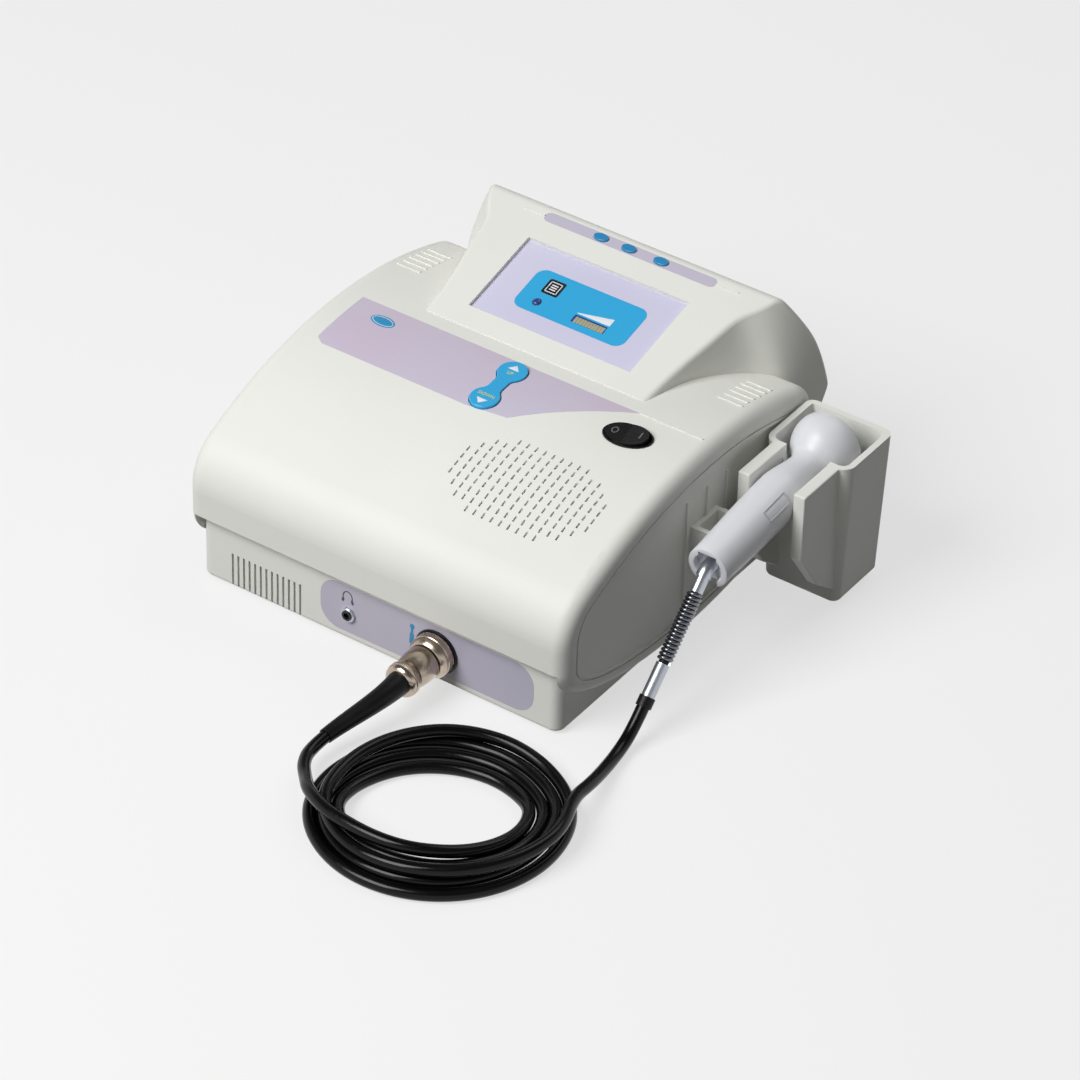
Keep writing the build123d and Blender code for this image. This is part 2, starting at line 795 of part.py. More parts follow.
# ---- base tray ----
with BuildPart() as base_tray:
    with BuildSketch(level(foot_lift)):
        with Locations((0, tray_depth / 2)):
            RectangleRounded(tray_width, tray_depth, tray_corner_radius)
    extrude(amount=tray_height - foot_lift)
    fillet(base_tray.part.faces().sort_by(Axis.Z)[0].edges(), tray_bottom_round)
    with BuildSketch(level(foot_lift + tray_floor)):
        with Locations((0, tray_depth / 2)):
            RectangleRounded(tray_width - 2 * tray_wall, tray_depth - 2 * tray_wall, tray_corner_radius - tray_wall)
    extrude(amount=tray_height, mode=Mode.SUBTRACT)
    # screw bosses and board posts
    with BuildSketch(level(foot_lift + 1)):
        with Locations(
            (-boss_x, boss_front_y), (boss_x, boss_front_y), (-boss_x, boss_back_y), (boss_x, boss_back_y)
        ):
            Circle(boss_radius)
    extrude(amount=boss_top_z - foot_lift - 1)
    with BuildSketch(level(foot_lift + 1)):
        with Locations((main_board_x, main_board_y)):
            with GridLocations(main_board_width - 10, main_board_length - 10, 2, 2):
                Circle(3.0)
    extrude(amount=main_board_z - foot_lift - 1)
    with BuildSketch(level(0)):
        with Locations(
            (-boss_x, boss_front_y), (boss_x, boss_front_y), (-boss_x, boss_back_y), (boss_x, boss_back_y)
        ):
            Circle(screw_radius + 0.2)
    extrude(amount=tray_height, mode=Mode.SUBTRACT)
    with BuildSketch(level(0)):
        with Locations(
            (-boss_x, boss_front_y), (boss_x, boss_front_y), (-boss_x, boss_back_y), (boss_x, boss_back_y)
        ):
            Circle(screw_head_radius + 0.2)
    extrude(amount=foot_lift + screw_head_height, mode=Mode.SUBTRACT)
    # sockets for the feet
    with BuildSketch(level(0)):
        with Locations((0, tray_depth / 2)):
            with GridLocations(tray_width - 2 * foot_inset_x, tray_depth - 2 * foot_inset_y, 2, 2):
                Circle(foot_radius + fit_clearance)
    extrude(amount=foot_lift + foot_socket, mode=Mode.SUBTRACT)
    # vents: upright slots that run under the front edge
    with BuildSketch(front_plane(vent_reach)):
        for vent in range(vent_count):
            with Locations((vent_start + vent * vent_pitch, vent_top / 2 - 2)):
                Rectangle(vent_width, vent_top + 4)
    extrude(amount=vent_reach + 1, mode=Mode.SUBTRACT)
    # front label's recess, jack and socket holes
    with BuildSketch(front_plane(label_thickness)):
        with Locations(
            ((front_label_left + front_label_right) / 2, (front_label_bottom + front_label_top) / 2)
        ):
            RectangleRounded(
                front_label_right - front_label_left, front_label_top - front_label_bottom, 12.0
            )
    extrude(amount=2, mode=Mode.SUBTRACT)
    with BuildSketch(front_plane(tray_wall + 1)):
        with Locations((jack_x, jack_z)):
            Circle(jack_barrel + fit_clearance)
        with Locations((socket_x, socket_z)):
            Circle(socket_barrel + fit_clearance)
    extrude(amount=tray_wall + 2, mode=Mode.SUBTRACT)
    # mains inlet opening in the back wall
    with BuildSketch(front_plane(tray_depth + 1)):
        with Locations((inlet_x, inlet_z)):
            Rectangle(inlet_width + 2 * fit_clearance, inlet_height + 2 * fit_clearance)
    extrude(amount=tray_wall + 2, mode=Mode.SUBTRACT)
hand_in(base_tray.part, "base_tray")

# ---- feet and case screws ----
with BuildPart() as rubber_feet:
    with BuildSketch(level(0)):
        with Locations((0, tray_depth / 2)):
            with GridLocations(tray_width - 2 * foot_inset_x, tray_depth - 2 * foot_inset_y, 2, 2):
                Circle(foot_radius)
    extrude(amount=foot_lift + foot_socket)
hand_in(rubber_feet.part, "rubber_feet")

with BuildPart() as case_screws:
    with BuildSketch(level(foot_lift + screw_head_height)):
        with Locations(
            (-boss_x, boss_front_y), (boss_x, boss_front_y), (-boss_x, boss_back_y), (boss_x, boss_back_y)
        ):
            Circle(screw_radius)
    extrude(amount=boss_top_z + 10 - foot_lift - screw_head_height)
    with BuildSketch(level(foot_lift + screw_head_height)):
        with Locations(
            (-boss_x, boss_front_y), (boss_x, boss_front_y), (-boss_x, boss_back_y), (boss_x, boss_back_y)
        ):
            Circle(screw_head_radius)
    extrude(amount=-1.8)
hand_in(case_screws.part, "case_screws")

# ---- front label, headphone jack ----
with BuildPart() as front_label:
    with BuildSketch(front_plane(label_thickness)):
        with Locations(
            ((front_label_left + front_label_right) / 2, (front_label_bottom + front_label_top) / 2)
        ):
            RectangleRounded(
                front_label_right - front_label_left - 2 * sheet_clearance,
                front_label_top - front_label_bottom - 2 * sheet_clearance,
                12.0 - sheet_clearance,
            )
        with Locations((jack_x, jack_z)):
            Circle(jack_barrel + sheet_clearance, mode=Mode.SUBTRACT)
        with Locations((socket_x, socket_z)):
            Circle(socket_barrel + sheet_clearance, mode=Mode.SUBTRACT)
    extrude(amount=label_thickness)
hand_in(front_label.part, "front_label")

with BuildPart() as headphone_jack:
    with BuildSketch(front_plane(tray_wall + jack_depth)):
        with Locations((jack_x, jack_z)):
            Rectangle(12.0, 10.0)
    extrude(amount=jack_depth)
    with BuildSketch(front_plane(tray_wall)):
        with Locations((jack_x, jack_z)):
            Circle(jack_barrel)
    extrude(amount=tray_wall + 2.4)
    with BuildSketch(front_plane(jack_depth - 2)):
        with Locations((jack_x, jack_z)):
            Circle(jack_bore)
    extrude(amount=jack_depth + 4, mode=Mode.SUBTRACT)
hand_in(headphone_jack.part, "headphone_jack")

with BuildPart() as jack_nut:
    with BuildSketch(front_plane(0)):
        with Locations((jack_x, jack_z)):
            Circle(jack_nut_radius)
            Circle(jack_barrel + fit_clearance, mode=Mode.SUBTRACT)
    extrude(amount=1.9)
    chamfer(jack_nut.part.faces().sort_by(Axis.Y)[0].edges().sort_by(SortBy.LENGTH)[-1], 0.4)
hand_in(jack_nut.part, "jack_nut")

# ---- probe socket: barrel through the wall, nut inside, gasket outside ----
with BuildPart() as probe_socket:
    with BuildSketch(front_plane(tray_wall + 10)):
        with Locations((socket_x, socket_z)):
            Circle(socket_barrel)
    extrude(amount=tray_wall + 10 + socket_reach)
    with BuildSketch(front_plane(0)):
        with Locations((socket_x, socket_z)):
            Circle(socket_bore)
    extrude(amount=socket_reach + 1, mode=Mode.SUBTRACT)
hand_in(probe_socket.part, "probe_socket")

with BuildPart() as socket_nut:
    with BuildSketch(front_plane(tray_wall + 3)):
        with Locations((socket_x, socket_z)):
            RegularPolygon(11.0, 6)
            Circle(socket_barrel + fit_clearance, mode=Mode.SUBTRACT)
    extrude(amount=3)
hand_in(socket_nut.part, "socket_nut")

with BuildPart() as socket_gasket:
    with BuildSketch(front_plane(0)):
        with Locations((socket_x, socket_z)):
            Circle(gasket_radius)
            Circle(socket_barrel + fit_clearance, mode=Mode.SUBTRACT)
    extrude(amount=gasket_thickness)
hand_in(socket_gasket.part, "socket_gasket")

# ---- plug: coupling ring, shell, back nut and boot, on the socket's axis ----
plug_axis = Axis(place(socket_x, 0, socket_z), (0, -1, 0))
plug_plane = Plane(origin=place(socket_x, 0, socket_z), x_dir=(0, -1, 0), z_dir=(0, 0, 1))
ring_start = gasket_thickness + ring_gap
ring_end = ring_start + ring_length
with BuildPart() as plug_coupling_ring:
    with BuildSketch(plug_plane):
        with BuildLine():
            Polyline(
                (ring_start, socket_barrel + fit_clearance),
                (ring_start, ring_radius - 0.6),
                (ring_start + 0.6, ring_radius),
                (ring_end - 3.2, ring_radius),
                (ring_end - 1.6, ring_radius - 1.4),
                (ring_end, ring_radius - 2.2),
                (ring_end, shell_radius + fit_clearance),
                (socket_reach + ring_gap, shell_radius + fit_clearance),
                (socket_reach + ring_gap, socket_barrel + fit_clearance),
                close=True,
            )
        make_face()
    revolve(axis=plug_axis)
hand_in(plug_coupling_ring.part, "plug_coupling_ring")

with BuildPart() as plug_shell:
    with BuildSketch(plug_plane):
        with BuildLine():
            Polyline(
                (1.0, 0),
                (1.0, socket_bore - 0.1),
                (socket_reach + ring_gap + 0.2, socket_bore - 0.1),
                (socket_reach + ring_gap + 0.2, shell_radius),
                (shell_end - 1.0, shell_radius),
                (shell_end - 1.0, shell_radius - 0.8),
                (shell_end, shell_radius - 0.8),
                (shell_end, 0),
                close=True,
            )
        make_face()
    revolve(axis=plug_axis)
hand_in(plug_shell.part, "plug_shell")

with BuildPart() as plug_back_nut:
    with BuildSketch(plug_plane):
        with BuildLine():
            FilletPolyline(
                (shell_end, 0),
                (shell_end, back_nut_radius - 1.2),
                (shell_end + 2.2, back_nut_radius),
                (shell_end + 5.0, back_nut_radius),
                (shell_end + back_nut_length, back_nut_radius - 2.2),
                (shell_end + back_nut_length, 0),
                radius=(0, 0.8, 0.8, 0.8, 0.5, 0),
                close=True,
            )
        make_face()
    revolve(axis=plug_axis)
    # two flats for the fingers
    with BuildSketch(front_plane(-shell_end - 2.0)):
        with Locations((socket_x, socket_z)):
            Rectangle(30, 30)
            Rectangle(2 * back_nut_radius - 2.4, 30, mode=Mode.SUBTRACT)
    extrude(amount=3.0, mode=Mode.SUBTRACT)
hand_in(plug_back_nut.part, "plug_back_nut")

boot_points = [place(x, -y, z) for x, y, z, radius in boot_stations]
boot_lead = Vector(*boot_heading).normalized()
boot_path = Spline(*boot_points, tangents=((0, -1, 0), boot_lead))
with BuildPart() as plug_boot:
    for index, (x, y, z, radius) in enumerate(boot_stations):
        share = boot_path.param_at_point(boot_points[index])
        with BuildSketch(Plane(origin=boot_points[index], x_dir=(0, 0, 1), z_dir=boot_path % share)):
            Circle(radius)
    loft()
hand_in(plug_boot.part, "plug_boot")

# ---- display: overlay with a window, module behind ----
with BuildPart() as display_panel:
    with BuildSketch(face_plane(display_recess)):
        with Locations((0, display_middle)):
            Rectangle(display_width - 2 * sheet_clearance, display_length - 2 * sheet_clearance)
        with Locations((window_shift, window_middle)):
            RectangleRounded(window_width, window_length, window_corner, mode=Mode.SUBTRACT)
    extrude(amount=overlay_thickness)
hand_in(display_panel.part, "display_panel")

with BuildPart() as display_window:
    with BuildSketch(face_plane(display_recess)):
        with Locations((window_shift, window_middle)):
            RectangleRounded(
                window_width - 2 * fit_clearance, window_length - 2 * fit_clearance, window_corner - fit_clearance
            )
    extrude(amount=overlay_thickness)
hand_in(display_window.part, "display_window")

with BuildPart() as display_module:
    with BuildSketch(face_plane(hood_face_wall)):
        with Locations((window_shift, window_middle)):
            Rectangle(
                window_width + 2 * module_margin - 2 * key_clearance,
                window_length + module_margin - 2 * key_clearance,
            )
    extrude(amount=hood_face_wall - display_recess)
    with BuildSketch(face_plane(module_depth)):
        with Locations((window_shift, window_middle)):
            Rectangle(window_width + 2 * module_margin + 6, window_length + module_margin + 6)
    extrude(amount=module_depth - hood_face_wall)
hand_in(display_module.part, "display_module")

# ---- key strip and hood keys ----
with BuildPart() as button_strip:
    with BuildSketch(face_plane(label_thickness)):
        with Locations((strip_shift, strip_middle)):
            SlotOverall(strip_width - 2 * sheet_clearance, strip_length - 2 * sheet_clearance)
        with Locations([(x, strip_middle) for x in hood_key_places]):
            Ellipse(
                hood_key_width / 2 + key_clearance, hood_key_length / 2 + key_clearance, mode=Mode.SUBTRACT
            )
    extrude(amount=label_thickness)
hand_in(button_strip.part, "button_strip")

key_foot = hood_face_wall + key_clearance + key_flange_thickness
for side, x in zip(("left", "middle", "right"), hood_key_places):
    with BuildPart() as hood_key:
        with BuildSketch(face_plane(key_foot)):
            with Locations((x, strip_middle)):
                Ellipse(hood_key_width / 2, hood_key_length / 2)
        extrude(amount=key_foot + hood_key_rise)
        fillet(hood_key.part.faces().sort_by(Axis.Z)[-1].edges(), 0.6)
        with BuildSketch(face_plane(key_foot)):
            with Locations((x, strip_middle)):
                Ellipse(hood_key_width / 2 + key_flange, hood_key_length / 2 + key_flange)
        extrude(amount=key_flange_thickness)
    hand_in(hood_key.part, f"hood_key_{side}")

hood_board_depth = 10.0
with BuildPart() as hood_key_board:
    with BuildSketch(face_plane(hood_board_depth + board_thickness)):
        with Locations((3, strip_middle - 2)):
            Rectangle(74, 10)
    extrude(amount=board_thickness)
    with BuildSketch(face_plane(hood_board_depth)):
        with Locations([(x, strip_middle) for x in hood_key_places]):
            Circle(1.8)
    extrude(amount=hood_board_depth - key_foot - hood_key_travel - 0.1)
hand_in(hood_key_board.part, "hood_key_board")

# ---- power switch: bezel, rocking key with two facets, body that holds its pins ----
bezel_inner = (power_half_length + key_clearance, power_half_width + key_clearance)
bezel_outer = (bezel_inner[0] + bezel_width, bezel_inner[1] + bezel_width)
with BuildPart() as power_bezel:
    with BuildSketch(power_plane(bezel_depth)):
        Ellipse(*bezel_outer)
        Ellipse(*bezel_inner, mode=Mode.SUBTRACT)
    extrude(amount=bezel_depth + bezel_rise)
    with BuildSketch(power_plane(bezel_depth)):
        Ellipse(bezel_outer[0] + bezel_flange, bezel_outer[1] + bezel_flange)
        Ellipse(*bezel_inner, mode=Mode.SUBTRACT)
    extrude(amount=bezel_depth - cover_wall - 0.4)
hand_in(power_bezel.part, "power_bezel")

power_pin = Plane(origin=power_plane(power_pivot_depth).origin, z_dir=power_plane().y_dir)
facet_height = power_half_length * math.tan(math.radians(power_dish))
key_section = power_plane(0, -power_angle)
with BuildPart() as power_key:
    with BuildSketch(power_plane(power_skirt, -power_angle)):
        Ellipse(power_half_length - power_swing, power_half_width)
    extrude(amount=power_skirt + power_rise + facet_height)
    # two facets that dip towards the middle
    with BuildSketch(Plane(origin=key_section.origin, x_dir=key_section.x_dir, z_dir=-key_section.y_dir)):
        with BuildLine():
            Polyline(
                (-power_half_length, power_rise + facet_height),
                (0, power_rise),
                (power_half_length, power_rise + facet_height),
                (power_half_length, power_rise + 4 * facet_height),
                (-power_half_length, power_rise + 4 * facet_height),
                close=True,
            )
        make_face()
    extrude(amount=2 * power_half_width, both=True, mode=Mode.SUBTRACT)
    with BuildSketch(power_plane(power_pivot_depth + power_pin_radius + 0.6, -power_angle)):
        Rectangle(*power_web)
    extrude(amount=power_pivot_depth + power_pin_radius + 0.6 - power_skirt)
    with BuildSketch(power_pin):
        Circle(power_pin_radius)
    extrude(amount=power_pin_half, both=True)
hand_in(power_key.part, "power_key")

with BuildPart() as power_switch:
    with BuildSketch(power_plane(bezel_depth + switch_body[2])):
        Rectangle(switch_body[0], switch_body[1])
    extrude(amount=switch_body[2])
    with BuildSketch(power_plane(bezel_depth + switch_pocket[2])):
        Rectangle(switch_pocket[0], switch_pocket[1])
    extrude(amount=switch_pocket[2] + 1, mode=Mode.SUBTRACT)
    with BuildSketch(power_pin):
        Circle(power_pin_radius + fit_clearance)
    extrude(amount=power_pin_half + 2 * fit_clearance, both=True, mode=Mode.SUBTRACT)
hand_in(power_switch.part, "power_switch")

# ---- volume rocker on its pin, board with two switches below ----
rocker_face = rocker_outline(0)
with BuildPart() as volume_rocker:
    with BuildSketch(crown_plane(0, rocker_y, rocker_thickness - rocker_rise)):
        add(rocker_face)
    extrude(amount=rocker_thickness)
    fillet(volume_rocker.part.faces().sort_by(Axis.Z)[-1].edges(), 0.7)
    with BuildSketch(crown_plane(0, rocker_y, rocker_pin_depth + 1.8)):
        Rectangle(rocker_waist - 1.0, 3.6)
    extrude(amount=rocker_pin_depth + 1.8 - rocker_thickness + rocker_rise)
    with BuildSketch(crown_plane(0, rocker_y, 5.0)):
        with Locations((0, -rocker_lobe_spacing / 2), (0, rocker_lobe_spacing / 2)):
            Circle(2.0)
    extrude(amount=5.0 - rocker_thickness + rocker_rise)
    with BuildSketch(pin_plane(pin_half_length)):
        Circle(rocker_pin_radius + fit_clearance)
    extrude(amount=2 * pin_half_length, mode=Mode.SUBTRACT)
hand_in(volume_rocker.part, "volume_rocker")

with BuildPart() as rocker_pin:
    with BuildSketch(pin_plane(pin_half_length)):
        Circle(rocker_pin_radius)
    extrude(amount=2 * pin_half_length)
hand_in(rocker_pin.part, "rocker_pin")

with BuildPart() as volume_board:
    with BuildSketch(crown_plane(0, rocker_y, volume_board_depth + board_thickness)):
        Rectangle(20, 38)
    extrude(amount=board_thickness)
    with BuildSketch(crown_plane(0, rocker_y, volume_board_depth)):
        with Locations((0, -rocker_lobe_spacing / 2), (0, rocker_lobe_spacing / 2)):
            Circle(2.4)
    extrude(amount=volume_board_depth - 5.8)
hand_in(volume_board.part, "volume_board")

# ---- speaker: flange on the ring, cone and magnet ----
with BuildPart() as speaker_driver:
    with BuildSketch(crown_plane(speaker_x, speaker_y, speaker_drop + 2)):
        Circle(speaker_radius + speaker_ring_wall)
        Circle(speaker_radius - 4, mode=Mode.SUBTRACT)
    extrude(amount=2)
    with BuildSketch(crown_plane(speaker_x, speaker_y, speaker_drop + 2)):
        Circle(speaker_radius - 1)
    extrude(amount=-11, taper=24)
    with BuildSketch(crown_plane(speaker_x, speaker_y, speaker_drop + 1)):
        Circle(speaker_radius - 4)
    extrude(amount=-9, taper=28, mode=Mode.SUBTRACT)
hand_in(speaker_driver.part, "speaker_driver")

with BuildPart() as speaker_magnet:
    with BuildSketch(crown_plane(speaker_x, speaker_y, speaker_drop + 13)):
        Circle(17)
    extrude(amount=-9)
hand_in(speaker_magnet.part, "speaker_magnet")

# ---- boards and power in the tray ----
with BuildPart() as main_board:
    with BuildSketch(level(main_board_z)):
        with Locations((main_board_x, main_board_y)):
            Rectangle(main_board_width, main_board_length)
    extrude(amount=board_thickness)
hand_in(main_board.part, "main_board")

with BuildPart() as board_components:
    with BuildSketch(level(main_board_z + board_thickness)):
        with Locations((main_board_x - 30, main_board_y + 10), (main_board_x + 25, main_board_y + 15)):
            Rectangle(22, 14)
    extrude(amount=3)
    with BuildSketch(level(main_board_z + board_thickness)):
        with Locations((main_board_x, main_board_y - 22)):
            with GridLocations(18, 16, 4, 2):
                Circle(5)
    extrude(amount=14)
hand_in(board_components.part, "board_components")

with BuildPart() as power_transformer:
    with BuildSketch(level(foot_lift + tray_floor)):
        with Locations((transformer_x, transformer_y)):
            Rectangle(transformer_size[0], transformer_size[1])
    extrude(amount=transformer_size[2])
    fillet(power_transformer.part.edges().filter_by(Axis.Z), 2)
    with BuildSketch(level(foot_lift + tray_floor + 8)):
        with Locations((transformer_x, transformer_y)):
            Rectangle(transformer_size[0] - 14, transformer_size[1] + 14)
    extrude(amount=transformer_size[2] - 16)
hand_in(power_transformer.part, "power_transformer")

with BuildPart() as mains_inlet:
    with BuildSketch(front_plane(tray_depth + inlet_flange[2])):
        with Locations((inlet_x, inlet_z)):
            RectangleRounded(inlet_width + inlet_flange[0], inlet_height + inlet_flange[1], 2)
    extrude(amount=inlet_flange[2])
    with BuildSketch(front_plane(tray_depth)):
        with Locations((inlet_x, inlet_z)):
            Rectangle(inlet_width, inlet_height)
    extrude(amount=inlet_depth)
    with BuildSketch(front_plane(tray_depth + inlet_flange[2] + 1)):
        with Locations((inlet_x, inlet_z)):
            Rectangle(inlet_width - 2 * inlet_wall, inlet_height - 2 * inlet_wall)
    extrude(amount=inlet_depth - inlet_floor + inlet_flange[2] + 1, mode=Mode.SUBTRACT)
hand_in(mains_inlet.part, "mains_inlet")

with BuildPart() as inlet_pins:
    with BuildSketch(front_plane(tray_depth - inlet_pin_shy)):
        with Locations(
            (inlet_x - inlet_pin_spread, inlet_z),
            (inlet_x + inlet_pin_spread, inlet_z),
            (inlet_x, inlet_z + inlet_pin_lift),
        ):
            Rectangle(*inlet_pin)
    extrude(amount=inlet_depth - inlet_floor - inlet_pin_shy)
hand_in(inlet_pins.part, "inlet_pins")

# ---- probe: ball head with a lens, handle, pad and end collar ----
probe_axis = Axis(probe_plane().origin, probe_plane().x_dir)
neck_start = math.sqrt(ball_radius**2 - neck_radius**2)
seat_radius = math.sqrt(ball_radius**2 - lens_seat**2)
lens_radius = seat_radius - lens_step
with BuildPart() as probe_head:
    with BuildSketch(probe_plane()):
        with BuildLine():
            Line((lens_seat, 0), (lens_seat, seat_radius))
            ThreePointArc(
                (lens_seat, seat_radius),
                (ball_radius * math.cos(1.2), ball_radius * math.sin(1.2)),
                (neck_start, neck_radius),
            )
            Polyline((neck_start, neck_radius), (neck_end, neck_radius), (neck_end, 0), (lens_seat, 0))
        make_face()
        fillet(vertices().filter_by_position(Axis.X, neck_start - 1, neck_start + 1), neck_blend)
    revolve(axis=probe_axis)
hand_in(probe_head.part, "probe_head")

with BuildPart() as probe_lens:
    with BuildSketch(probe_plane()):
        with BuildLine():
            Line((lens_seat, 0), (lens_seat, lens_radius))
            SagittaArc((lens_seat, -lens_radius), (lens_seat, lens_radius), lens_rise)
            Line((lens_seat, -lens_radius), (lens_seat, 0))
        make_face()
        with Locations((lens_seat, -lens_radius)):
            Rectangle(4 * lens_radius, 2 * lens_radius, mode=Mode.SUBTRACT)
    revolve(axis=probe_axis)
hand_in(probe_lens.part, "probe_lens")

with BuildPart() as probe_handle:
    with BuildSketch(probe_plane()):
        with BuildLine():
            Line((neck_end, 0), (neck_end, neck_radius))
            Spline(
                (neck_end, neck_radius),
                (shoulder_end, handle_radius),
                tangents=((1, 0), (1, 0)),
            )
            Polyline((shoulder_end, handle_radius), (handle_end, handle_radius), (handle_end, 0), (neck_end, 0))
        make_face()
    revolve(axis=probe_axis)
    # recess for the pad, on the side that faces away from the case
    pad_plane = Plane(
        origin=probe_plane(pad_start + pad_length / 2).origin, x_dir=probe_axis.direction, z_dir=(1, 0, 0)
    )
    with BuildSketch(pad_plane.offset(handle_radius - pad_depth - 0.6)):
        RectangleRounded(pad_length, pad_width, 1.2)
    extrude(amount=5, mode=Mode.SUBTRACT)
hand_in(probe_handle.part, "probe_handle")

with BuildPart() as probe_pad:
    with BuildSketch(pad_plane.offset(handle_radius - pad_depth - 0.6)):
        RectangleRounded(pad_length - 0.6, pad_width - 0.6, 1.0)
    extrude(amount=0.6)
hand_in(probe_pad.part, "probe_pad")

with BuildPart() as probe_collar:
    with BuildSketch(probe_plane()):
        with BuildLine():
            Polyline(
                (handle_end, 0),
                (handle_end, handle_radius),
                (collar_end - 1.0, handle_radius),
                (collar_end, handle_radius - 0.8),
                (collar_end, handle_radius - collar_wall),
                (handle_end + 2.0, handle_radius - collar_wall),
                (handle_end + 2.0, 0),
                close=True,
            )
        make_face()
    revolve(axis=probe_axis)
    # the notch that lets the cord bend down
    with BuildSketch(Plane(origin=probe_plane(collar_end).origin, x_dir=(1, 0, 0), z_dir=probe_plane().y_dir)):
        SlotOverall(2 * notch_reach + 2 * gland_radius, 2 * gland_radius + 1.0, rotation=90)
    extrude(amount=2 * handle_radius, mode=Mode.SUBTRACT)
hand_in(probe_collar.part, "probe_collar")

# ---- strain relief: gland, ferrule, close spring, ferrule and sleeve ----
gland_start = probe_point(handle_end + 2.0)
with BuildPart() as probe_gland:
    with BuildLine() as gland_path:
        FilletPolyline(
            place(ball_x, *gland_start),
            place(*relief_point(0)),
            place(*relief_point(gland_tail)),
            radius=(gland_bend,),
        )
    with BuildSketch(Plane(origin=gland_path.line @ 0, z_dir=gland_path.line % 0)):
        Circle(gland_radius)
    sweep(path=gland_path.line)
hand_in(probe_gland.part, "probe_gland")

with BuildPart() as ferrule_upper:
    with BuildSketch(relief_plane(gland_tail)):
        Circle(ferrule_radius)
    extrude(amount=ferrule_upper_length)
hand_in(ferrule_upper.part, "ferrule_upper")

spring_start = gland_tail + ferrule_upper_length
spring_pitch = spring_length / spring_coils
spring_plane = relief_plane(spring_start)
spring_core = ferrule_radius - 0.6
with BuildPart() as relief_spring:
    with BuildSketch(Plane(origin=spring_plane.origin, x_dir=spring_plane.z_dir, z_dir=(1, 0, 0))):
        with BuildLine():
            outline = [(0, 0), (0, spring_core)]
            for coil in range(spring_coils):
                outline.append(((coil + 0.2) * spring_pitch, spring_radius))
                outline.append(((coil + 0.6) * spring_pitch, spring_radius))
                outline.append(((coil + 0.85) * spring_pitch, spring_core))
            Polyline(*outline, (spring_length, spring_core), (spring_length, 0), close=True)
        make_face()
    revolve(axis=Axis(spring_plane.origin, spring_plane.z_dir))
hand_in(relief_spring.part, "relief_spring")

ferrule_lower_start = spring_start + spring_length
with BuildPart() as ferrule_lower:
    with BuildSketch(relief_plane(ferrule_lower_start)):
        Circle(ferrule_radius + 0.2)
    extrude(amount=ferrule_lower_length)
hand_in(ferrule_lower.part, "ferrule_lower")

with BuildPart() as cord_sleeve:
    with BuildSketch(relief_plane(ferrule_lower_start + ferrule_lower_length)):
        Circle(sleeve_radius)
    extrude(amount=sleeve_length)
hand_in(cord_sleeve.part, "cord_sleeve")

# ---- cord: two lengths and the coil between them ----
sleeve_end = ferrule_lower_start + ferrule_lower_length + sleeve_length
probe_exit = (place(*relief_point(sleeve_end)), place(*relief_point(sleeve_end + first_run)))
cord_run_probe = cord_tube([*probe_exit, *(place(*point) for point in probe_run)], "cord_run_probe")
hand_in(cord_run_probe.part, "cord_run_probe")
plug_exit = (boot_points[-1], boot_points[-1] + boot_lead * plug_first_run)
cord_run_plug = cord_tube([*plug_exit, *(place(*point) for point in plug_run)], "cord_run_plug")
hand_in(cord_run_plug.part, "cord_run_plug")

with BuildPart() as cord_coil:
    with BuildSketch(Plane(origin=place(coil_x, coil_y, 0), x_dir=(1, 0, 0), z_dir=(0, -1, 0))):
        with Locations(((coil_outer + coil_inner) / 2, coil_height / 2)):
            RectangleRounded(coil_outer - coil_inner, coil_height, 2 * cord_radius)
    revolve(axis=Axis(place(coil_x, coil_y, 0), (0, 0, 1)))
    # the coil is one turn high where the boot lies over it
    with BuildSketch(level(2 * cord_radius + 0.5)):
        with Locations((coil_x - coil_outer, coil_y + coil_outer / 2 - 8)):
            Rectangle(2 * boot_pass, coil_outer)
    extrude(amount=coil_height, mode=Mode.SUBTRACT)
hand_in(cord_coil.part, "cord_coil")

# ---- holder: open cup with two arms, screwed to the case ----
holder_rim = holder_plan(0)
holder_mouth = holder_plan(holder_wall)
holder_height = holder_rim_z - holder_base_z
neck_z = ball_z - (ball_y - holder_front_y) * math.tan(math.radians(probe_slope))
notch_z = neck_z - neck_radius - neck_swell - probe_rest_gap
holder_arms = [holder_arm(x) for x in (holder_slot_x[0] - arm_thickness, holder_slot_x[1])]
with BuildPart() as probe_holder:
    with BuildSketch(level(holder_rim_z)):
        add(holder_rim)
    extrude(amount=-holder_height, taper=holder_taper)
    fillet(probe_holder.part.faces().sort_by(Axis.Z)[0].edges(), holder_foot_round)
    for arm in holder_arms:
        add(arm)
    with BuildSketch(level(holder_rim_z)):
        add(holder_mouth)
    extrude(amount=-(holder_height - holder_wall), taper=holder_taper, mode=Mode.SUBTRACT)
    with BuildSketch(front_plane(holder_front_y + holder_wall + 3)):
        with Locations((ball_x, notch_z + arm_slot / 2)):
            Circle(arm_slot / 2)
        with Locations((ball_x, notch_z + arm_slot / 2 + 20)):
            Rectangle(arm_slot, 40)
    extrude(amount=holder_wall + 4, mode=Mode.SUBTRACT)
    # pads that stand the holder off the side panel
    for z in holder_pad_heights:
        with BuildSketch(side_plane(panel_x)):
            with Locations(((holder_front_y + holder_back_y) / 2, z)):
                Circle(holder_pad_radius)
        extrude(amount=holder_inner_x + 5 - panel_x)
    with BuildSketch(level(holder_rim_z)):
        add(holder_mouth)
    extrude(amount=-(holder_height - holder_wall), taper=holder_taper, mode=Mode.SUBTRACT)
hand_in(probe_holder.part, "probe_holder")

